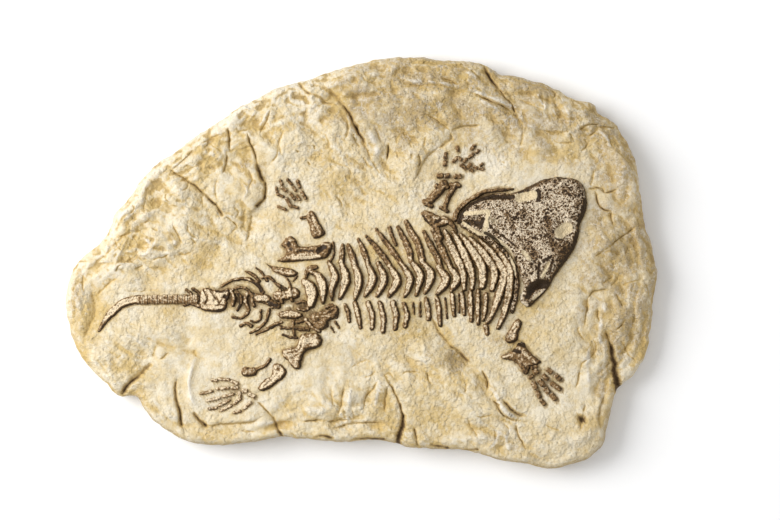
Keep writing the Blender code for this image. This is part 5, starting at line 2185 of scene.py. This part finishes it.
@dataclass
class SlabBuilder:
    """The stone slab: a fine folded top, a rough wall, and the cut underside.

    Args:
        terrain: the stone's shape.
        finish: its material.
    """

    terrain: Terrain
    finish: bpy.types.Material
    columns: int = 344
    rows: int = 244
    waist: float = 7.0
    waist_inset: float = 1.0
    foot_inset: float = 6.0
    wall_rings: int = 10
    wall_top: float = 17.0
    crowd_reach: float = 7.0
    crowd_power: float = 0.7

    def build(self) -> Piece:
        """Build the slab.

        Returns:
            The finished object.
        """
        plan, border = self._plan()
        plan = self._crowded(plan)
        x, y = plan[..., 0], plan[..., 1]
        z = self.terrain.height(x, y)
        ring = plan.reshape(-1, 2)[border]
        z.ravel()[border] = self.terrain.rim_height(ring[:, 0], ring[:, 1])
        top = Sheet.to_metres(x, y, z).reshape(-1, 3)
        number = np.arange(len(top)).reshape(x.shape)
        quads = np.stack((number[:-1, :-1], number[1:, :-1], number[1:, 1:], number[:-1, 1:]), axis=-1)
        rings, walls, base = self._wall(ring, z.ravel()[border], border, len(top))
        points = np.vstack([top] + rings)
        bottom = base[::-1][None] if self._turns_left(points, base) else base[None]
        if self._turns_left(points, border):
            walls = walls[:, ::-1]
        obj = mesh_of("slab_stone", points, [quads.reshape(-1, 4), walls, bottom])
        self._paint(obj, len(top))
        return obj

    def _wall(self, ring: Array, rim_z: Array, base: Array, count: int
              ) -> tuple[list[Array], Array, Array]:
        """The rough wall under the slab's border.

        Args:
            ring: sheet places of the border.
            rim_z: its heights.
            base: its vertex numbers.
            count: how many vertices the top has.

        Returns:
            The wall's points ring by ring, its faces, and the vertex numbers of the lowest ring.
        """
        rings, walls = [], []
        away, reach = Sheet.outward(ring), travelled(ring)
        rock = Lattice(71)
        for step in range(1, self.wall_rings + 1):
            share = step / self.wall_rings
            height = rim_z * (1.0 - share)
            inset = np.interp(height, (0.0, self.waist, self.wall_top),
                              (self.foot_inset, self.waist_inset, 0.0))
            wave = rock.cloud(reach, height * 2.2 + 40.0, 17.0, 4) * 1.3
            wave = wave * math.sin(math.pi * min(share, 0.93))
            spot = ring - away * (inset + wave)[:, None]
            rings.append(Sheet.to_metres(spot[:, 0], spot[:, 1], height))
            lower = count + np.arange(len(base))
            count += len(base)
            walls.append(np.stack((base, np.roll(base, -1), np.roll(lower, -1), lower), axis=1))
            base = lower
        return rings, np.vstack(walls), base

    @staticmethod
    def _turns_left(points: Array, ring: Array) -> bool:
        """Whether a ring runs anticlockwise seen from above."""
        x, y = points[ring, 0], points[ring, 1]
        return float(np.sum(x * np.roll(y, -1) - y * np.roll(x, -1))) > 0

    def _plan(self) -> tuple[Array, Array]:
        """Sheet places of the top's grid, and the vertex numbers round its border."""
        edge = self.terrain.edge
        middle = np.array(Sheet.MIDDLE)
        closed = np.vstack((edge, edge[:1]))
        reach = travelled(closed)
        turn = Sheet.bearing(edge[:, 0], edge[:, 1])
        total = reach[-1]
        corners = []
        for side_x, side_y in ((-1, -1), (1, -1), (1, 1), (-1, 1)):
            wanted = math.atan2(side_y * 0.62, side_x)
            gap = np.abs(np.angle(np.exp(1j * (turn - wanted))))
            corners.append(reach[int(np.argmin(gap))])
        sides = []
        for begin, end, count in zip(corners, corners[1:] + corners[:1],
                                     (self.columns, self.rows, self.columns, self.rows)):
            span = (end - begin) % total
            sides.append((begin + span * np.arange(count + 1) / count) % total)
        u = np.linspace(-1, 1, self.columns + 1)
        v = np.linspace(-1, 1, self.rows + 1)
        gu, gv = np.meshgrid(u, v)
        ring = np.maximum(np.abs(gu), np.abs(gv))
        safe = np.maximum(ring, 1e-6)
        pu, pv = gu / safe, gv / safe
        spot = np.zeros(gu.shape + (2,))
        along_u, along_v = (pu + 1) / 2, (pv + 1) / 2
        for index, (mask, along) in enumerate((
                (pv <= -1 + 1e-9, along_u), (pu >= 1 - 1e-9, along_v),
                (pv >= 1 - 1e-9, 1 - along_u), (pu <= -1 + 1e-9, 1 - along_v))):
            begin = sides[index][0]
            span = (corners[(index + 1) % 4] - corners[index]) % total
            place = (begin + span * along) % total
            for axis in (0, 1):
                value = np.interp(place, reach, closed[:, axis])
                spot[..., axis] = np.where(mask, value, spot[..., axis])
        share = ring * 1.06 - 0.06 * ring ** 6
        plan = middle + (spot - middle) * share[..., None]
        number = np.arange(gu.size).reshape(gu.shape)
        border = np.concatenate((number[0, :-1], number[:-1, -1], number[-1, :0:-1], number[:0:-1, 0]))
        return plan, border

    def _crowded(self, plan: Array) -> Array:
        """The grid drawn in towards each crease, where it needs finer steps."""
        for crease in CREASES:
            if crease.depth <= 0:
                continue
            line = crease.line
            low, high = line.min(0) - self.crowd_reach, line.max(0) + self.crowd_reach
            near = np.all((plan > low) & (plan < high), axis=-1)
            spots = plan[near]
            best = np.full(len(spots), np.inf)
            foot = spots.copy()
            for start, end in zip(line, line[1:]):
                run = end - start
                share = np.clip((spots - start) @ run / max(run @ run, 1e-9), 0.0, 1.0)
                there = start + share[:, None] * run
                gap = np.linalg.norm(spots - there, axis=1)
                closer = gap < best
                best = np.where(closer, gap, best)
                foot = np.where(closer[:, None], there, foot)
            ratio = np.clip(best / self.crowd_reach, 1e-6, 1.0)
            inside = self.terrain.raster.read(self.terrain.inside, spots[:, 0], spots[:, 1])
            pull = (1.0 - ratio ** self.crowd_power) * ease(inside, 0.5, 8.0)
            plan[near] = spots + (foot - spots) * pull[:, None]
        return plan

    def _paint(self, obj: Piece, tops: int) -> None:
        """Store the stone's recesses, painted shade and grime beside the bones, dull brown that is partly
        painted shade, chalk and rust, and plain ones on its wall.
        """
        places, _ = vertex_arrays(obj)
        x, y = places[:, 0], places[:, 1]
        terrain = self.terrain
        upper = (np.arange(len(x)) < tops).astype(float)
        recess, tan, gap_shade_and_grime, chalk, rust = (terrain.raster.read(values, x, y) for values in (
            terrain.recess, terrain.tan, terrain.gap_shade_and_grime, terrain.chalk, terrain.rust))
        marks = terrain.cuts(x, y)[1]
        store(obj, "recess", recess * upper + 0.08 * (1 - upper))
        store(obj, "crack", marks * upper)
        store(obj, "crest", -marks * upper)
        store(obj, "tan", np.maximum(tan, 0.5 * (1 - upper)))
        store(obj, "gap_shade_and_grime", gap_shade_and_grime * upper)
        store(obj, "chalk", np.maximum(chalk, 0.3 * (1 - upper)))
        store(obj, "rust", rust * upper + 0.25 * (1 - upper))
        obj.data.materials.append(self.finish)


@dataclass
class DigitBuilder:
    """Small rods with a knob at each end, set out by Geometry Nodes from a list of places.

    Args:
        terrain: the stone that they stand on.
        finish: their material.
    """

    terrain: Terrain
    finish: bpy.types.Material
    around: int = 20
    lengths: int = 18
    waist: float = 0.9
    flatness: float = 0.9
    lift: float = 0.5
    rough: float = 0.8
    grain: float = 3.0
    sockets: dict[str, str] = field(default_factory=dict)

    def unit(self) -> Piece:
        """The rod that every small bone repeats: one long, and one wide at its knobs."""
        along = np.linspace(-0.5, 0.5, self.lengths)
        cap = np.sqrt(np.clip(1 - (np.abs(along) / 0.5) ** 6, 0.0, 1.0))
        girth = (self.waist + (1 - self.waist) * ease(np.abs(along), 0.14, 0.38)) * cap * 0.5
        girth[0] = girth[-1] = 0.04
        turn = np.arange(self.around) / self.around * 2 * math.pi
        x = np.repeat(along[:, None], self.around, axis=1)
        y = girth[:, None] * np.cos(turn)
        z = girth[:, None] * np.sin(turn)
        points = np.stack((x, y, z), axis=-1).reshape(-1, 3)
        number = np.arange(points.shape[0]).reshape(self.lengths, self.around)
        after = np.roll(number, -1, axis=1)
        quads = np.stack((number[:-1], number[1:], after[1:], after[:-1]), axis=-1).reshape(-1, 4)
        caps = np.vstack((number[0][None], number[-1][::-1][None]))
        return mesh_of("unit_rod", points, [quads[:, ::-1], caps[:, ::-1]])

    def places(self, name: str, group: Iterable[Digit]) -> Piece:
        """Points that carry each rod's aim, length and girth."""
        rods = list(group)
        starts = np.array([rod.start for rod in rods], float)
        ends = np.array([rod.end for rod in rods], float)
        middle = (starts + ends) / 2
        run = ends - starts
        widths = np.array([rod.width for rod in rods])
        ground = self.terrain.height(middle[:, 0], middle[:, 1])
        points = Sheet.to_metres(middle[:, 0], middle[:, 1], ground + self.lift)
        mesh = bpy.data.meshes.new(name)
        mesh.from_pydata([tuple(point) for point in points], [], [])
        values = {"aim": np.arctan2(-run[:, 1], run[:, 0]),
                  "reach": (np.linalg.norm(run, axis=1) + 1.2) * MM, "girth": widths * MM * 1.05}
        for key, numbers in values.items():
            attribute = mesh.attributes.new(key, "FLOAT", "POINT")
            attribute.data.foreach_set("value", numbers.astype(np.float32))
        return placed(name, mesh)

    def chain_tree(self) -> bpy.types.NodeTree:
        """The node tree that sets a rod on every point and roughens it."""
        tree = bpy.data.node_groups.new("bone_chain", "GeometryNodeTree")
        face = tree.interface
        wanted = (("Geometry", "NodeSocketGeometry"), ("Rod", "NodeSocketObject"),
                  ("Flatness", "NodeSocketFloat"), ("Roughness", "NodeSocketFloat"),
                  ("Grain", "NodeSocketFloat"), ("Finish", "NodeSocketMaterial"))
        for label, kind in wanted:
            self.sockets[label] = face.new_socket(label, in_out="INPUT", socket_type=kind).identifier
        face.new_socket("Geometry", in_out="OUTPUT", socket_type="NodeSocketGeometry")

        def node(kind: str, settings: dict[str, Any], inputs: dict[Any, Any]) -> bpy.types.Node:
            """A new node with its settings, and links or values for its inputs."""
            made = tree.nodes.new(kind)
            for key, value in settings.items():
                setattr(made, key, value)
            for key, value in inputs.items():
                if isinstance(value, bpy.types.NodeSocket):
                    tree.links.new(value, made.inputs[key])
                else:
                    made.inputs[key].default_value = value
            return made

        def number(name: str) -> bpy.types.NodeSocket:
            """A number stored on the points."""
            reader = node("GeometryNodeInputNamedAttribute", {"data_type": "FLOAT"}, {"Name": name})
            return reader.outputs["Attribute"]

        start = tree.nodes.new("NodeGroupInput").outputs
        rod = node("GeometryNodeObjectInfo", {}, {"Object": start["Rod"]})
        spin = node("ShaderNodeCombineXYZ", {}, {"Z": number("aim")})
        flat = node("ShaderNodeMath", {"operation": "MULTIPLY"}, {0: number("girth"), 1: start["Flatness"]})
        scale = node("ShaderNodeCombineXYZ", {},
                     {"X": number("reach"), "Y": number("girth"), "Z": flat.outputs[0]})
        rods = node("GeometryNodeInstanceOnPoints", {},
                    {"Points": start["Geometry"], "Instance": rod.outputs["Geometry"],
                     "Rotation": spin.outputs[0], "Scale": scale.outputs[0]})
        solid = node("GeometryNodeRealizeInstances", {}, {"Geometry": rods.outputs[0]})
        noise = node("ShaderNodeTexNoise", {}, {"Scale": start["Grain"], "Detail": 3.0})
        middle = node("ShaderNodeVectorMath", {"operation": "SUBTRACT"},
                      {0: noise.outputs["Color"], 1: (0.5, 0.5, 0.5)})
        push = node("ShaderNodeVectorMath", {"operation": "SCALE"},
                    {0: middle.outputs[0], "Scale": start["Roughness"]})
        rough = node("GeometryNodeSetPosition", {},
                     {"Geometry": solid.outputs[0], "Offset": push.outputs[0]})
        finish = node("GeometryNodeSetMaterial", {},
                      {"Geometry": rough.outputs[0], "Material": start["Finish"]})
        end = tree.nodes.new("NodeGroupOutput")
        tree.links.new(finish.outputs[0], end.inputs[0])
        return tree

    def build(self, name: str, group: Iterable[Digit], worn: float, rod: Piece,
              tree: bpy.types.NodeTree) -> Piece:
        """Set out one hand, foot or row of small vertebrae.

        Args:
            name: the piece's name.
            group: its bones.
            worn: how far their crests are worn pale.
            rod: the rod that they repeat.
            tree: the node tree.

        Returns:
            The finished plain mesh.
        """
        points = self.places(name + "_places", group)
        modifier = points.modifiers.new("chain", "NODES")
        modifier.node_group = tree
        settings = {"Rod": rod, "Flatness": self.flatness, "Roughness": self.rough * MM,
                    "Grain": 1.0 / (self.grain * MM), "Finish": self.finish}
        for label, value in settings.items():
            modifier[self.sockets[label]] = value
        points.data.update()
        evaluated = points.evaluated_get(bpy.context.evaluated_depsgraph_get())
        mesh = bpy.data.meshes.new_from_object(evaluated)
        bpy.data.objects.remove(points)
        mesh.name = name
        mesh.shade_smooth()
        obj = placed(name, mesh)
        if not mesh.materials:
            mesh.materials.append(self.finish)
        self._paint(obj, worn)
        log.info("%s: %d vertices", name, len(mesh.vertices))
        return obj

    def _paint(self, obj: Piece, worn: float) -> None:
        """Store how worn pale and how dark the rods are, with a painted highlight on the side facing the
        light and painted shade low down by the stone and on the side away from the light.
        """
        places, normals = vertex_arrays(obj)
        above = places[:, 2] - self.terrain.height(places[:, 0], places[:, 1])
        lean = lean_to_light(normals)
        # Painted highlight on faces that lean towards the light; painted shade near the stone and on the
        # side away from the light.
        wear_and_highlight = 0.08 + worn * ease(above, 0.4, 2.0) + 0.25 * np.clip(lean, -1, 1)
        dark = (1.0 - ease(above, -0.1, 0.7)) * (0.8 - 0.4 * np.clip(lean, -0.5, 1))
        store(obj, "wear_and_highlight", wear_and_highlight)
        store(obj, "dark", dark)
        store(obj, "cream", np.zeros(len(above)))


# ------------------------------------------------------------------ studio
@dataclass
class Studio:
    """A pale floor, soft light from the upper left, and a long lens straight above."""

    distance: float = 4.0
    width: float = 0.780
    level: float = 0.038
    middle: tuple[float, float] = (0.0285, 0.00275)
    sensor: float = 36.0
    floor_size: float = 12.0
    key_place: tuple[float, float, float] = (-1.9, 0.6, 1.75)
    key_power: float = 71.0
    key_size: float = 1.9
    world: float = 0.61

    def build(self) -> None:
        """Build the studio."""
        bpy.context.scene.view_settings.view_transform = "Standard"
        self._floor()
        self._key()
        self._world()
        self._camera()

    def _floor(self) -> None:
        """Lay the floor under the slab."""
        bpy.ops.mesh.primitive_plane_add(size=self.floor_size, location=(0.0, 0.0, -0.0002))
        floor = bpy.context.object
        floor.name = "floor"
        floor.data.materials.append(FloorFinish().material())
        floor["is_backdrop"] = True

    def _key(self) -> None:
        """Hang the large soft light on the left."""
        light = bpy.data.lights.new("key", "AREA")
        light.shape = "RECTANGLE"
        light.size = light.size_y = self.key_size
        light.energy = self.key_power
        lamp = placed("key", light)
        lamp.location = self.key_place
        lamp.rotation_euler = (-Vector(self.key_place)).to_track_quat("-Z", "Y").to_euler()

    def _world(self) -> None:
        """Fill from all round."""
        world = bpy.data.worlds.new("studio")
        world.use_nodes = True
        background = world.node_tree.nodes["Background"]
        background.inputs["Color"].default_value = (1.0, 1.0, 1.0, 1.0)
        background.inputs["Strength"].default_value = self.world
        bpy.context.scene.world = world

    def _camera(self) -> None:
        """Set the camera."""
        camera = bpy.data.cameras.new("camera")
        camera.sensor_width = self.sensor
        camera.lens = self.distance * self.sensor / self.width
        camera.clip_end = 50.0
        holder = placed("camera", camera)
        holder.location = (*self.middle, self.level + self.distance)
        bpy.context.scene.camera = holder


# ------------------------------------------------------------------ assembly
def vertebra(number: int, line: Line, start: float, end: float) -> Bone:
    """A vertebra of the trunk, with the left rib that runs into it.

    Args:
        number: its number, counted from the hip.
        line: the middle line of its arch.
        start: half width of the arch at its left end.
        end: half width at its right end.

    Returns:
        The bone.
    """
    parts = [Stroke(line, start - 0.8, end - 1.0, rise=4.6, groove=0.3, belly=2.3)]
    parts += [Stroke(rib, near - 0.1, far + 0.6, rise=3.2, groove=0.8, belly=1.0, worn=0.48)
              for rib, owner, near, far in LEFT_RIBS if owner == number]
    # The front vertebrae are less worn, and their painted shade reaches less far up the side away from the
    # light.
    worn, shaded_side = (0.56, 2.7) if number < FRONT_VERTEBRA else (0.48, 1.3)
    return Bone(f"vertebra_{number:02d}", tuple(parts), rough=0.5, worn=worn, shaded_side=shaded_side)


def trunk_bones() -> list[Bone]:
    """The vertebrae with their ribs, the right ribs, the loose rib and the slivers."""
    bones = [vertebra(number, *arch) for number, arch in enumerate(ARCHES, start=1)]
    bones += [Bone(f"rib_right_{number:02d}", (Stroke(line, start + 0.4, end + 0.2, 3.0, 0.3, 0.5),),
                   worn=0.52)
              for number, (line, start, end) in enumerate(RIGHT_RIBS, start=1)]
    loose = ((389.5, 227), (392, 236), (396, 244.5))
    bones.append(Bone("rib_left_loose", (Stroke(loose, 2.0, 1.8),)))
    bones += [Bone(name, (Stroke(line, start, end, 1.8),)) for name, line, start, end in SLIVERS]
    return bones


def measured() -> Any:
    """The box round every shown object but the backdrop, as plain lists."""
    def plain(value: Any) -> Any:
        """A value made of plain dicts, lists, numbers and words."""
        if isinstance(value, dict):
            return {str(key): plain(item) for key, item in value.items()}
        if isinstance(value, (list, tuple, Vector)):
            return [plain(item) for item in value]
        return float(value) if isinstance(value, (int, float)) else str(value)
    return plain(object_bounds())


def main() -> None:
    """Build the slab, every bone and the studio."""
    logging.basicConfig(level=logging.INFO, format="%(message)s")
    measured()
    bones = [*BONES, *trunk_bones()]
    parts = [part for bone in bones for part in bone.parts]
    parts += [Stroke((digit.start, digit.end), digit.width / 2, digit.width / 2)
              for group in (*HANDS.values(), TAIL_SPOOLS) for digit in group]
    terrain = Terrain(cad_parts["slab"], parts)
    stone = StoneFinish().material()
    slab = SlabBuilder(terrain, stone).build()
    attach(slab, ROOT)
    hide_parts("slab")
    bone_finish = BoneFinish().material()
    skull_finish = BoneFinish("skull_bone", speckle=3.9, worms=1.0, pale=(0.76, 0.65, 0.49)).material()
    for bone in bones:
        builder = BoneBuilder(terrain, skull_finish if bone.node == "skull" else bone_finish)
        obj = builder.build(bone)
        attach(obj, ROOT)
        if bone.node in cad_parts:
            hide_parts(bone.node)
    maker = DigitBuilder(terrain, bone_finish)
    rod, tree = maker.unit(), maker.chain_tree()
    for name, group in (*HANDS.items(), ("tail_spools", TAIL_SPOOLS)):
        label = name + "_bones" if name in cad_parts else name
        obj = maker.build(label, group, WORN_DIGITS[name], rod, tree)
        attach(obj, ROOT)
        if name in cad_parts:
            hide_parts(name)
    bpy.data.objects.remove(rod)
    Studio().build()
    measured()


if __name__ == "__main__":
    main()
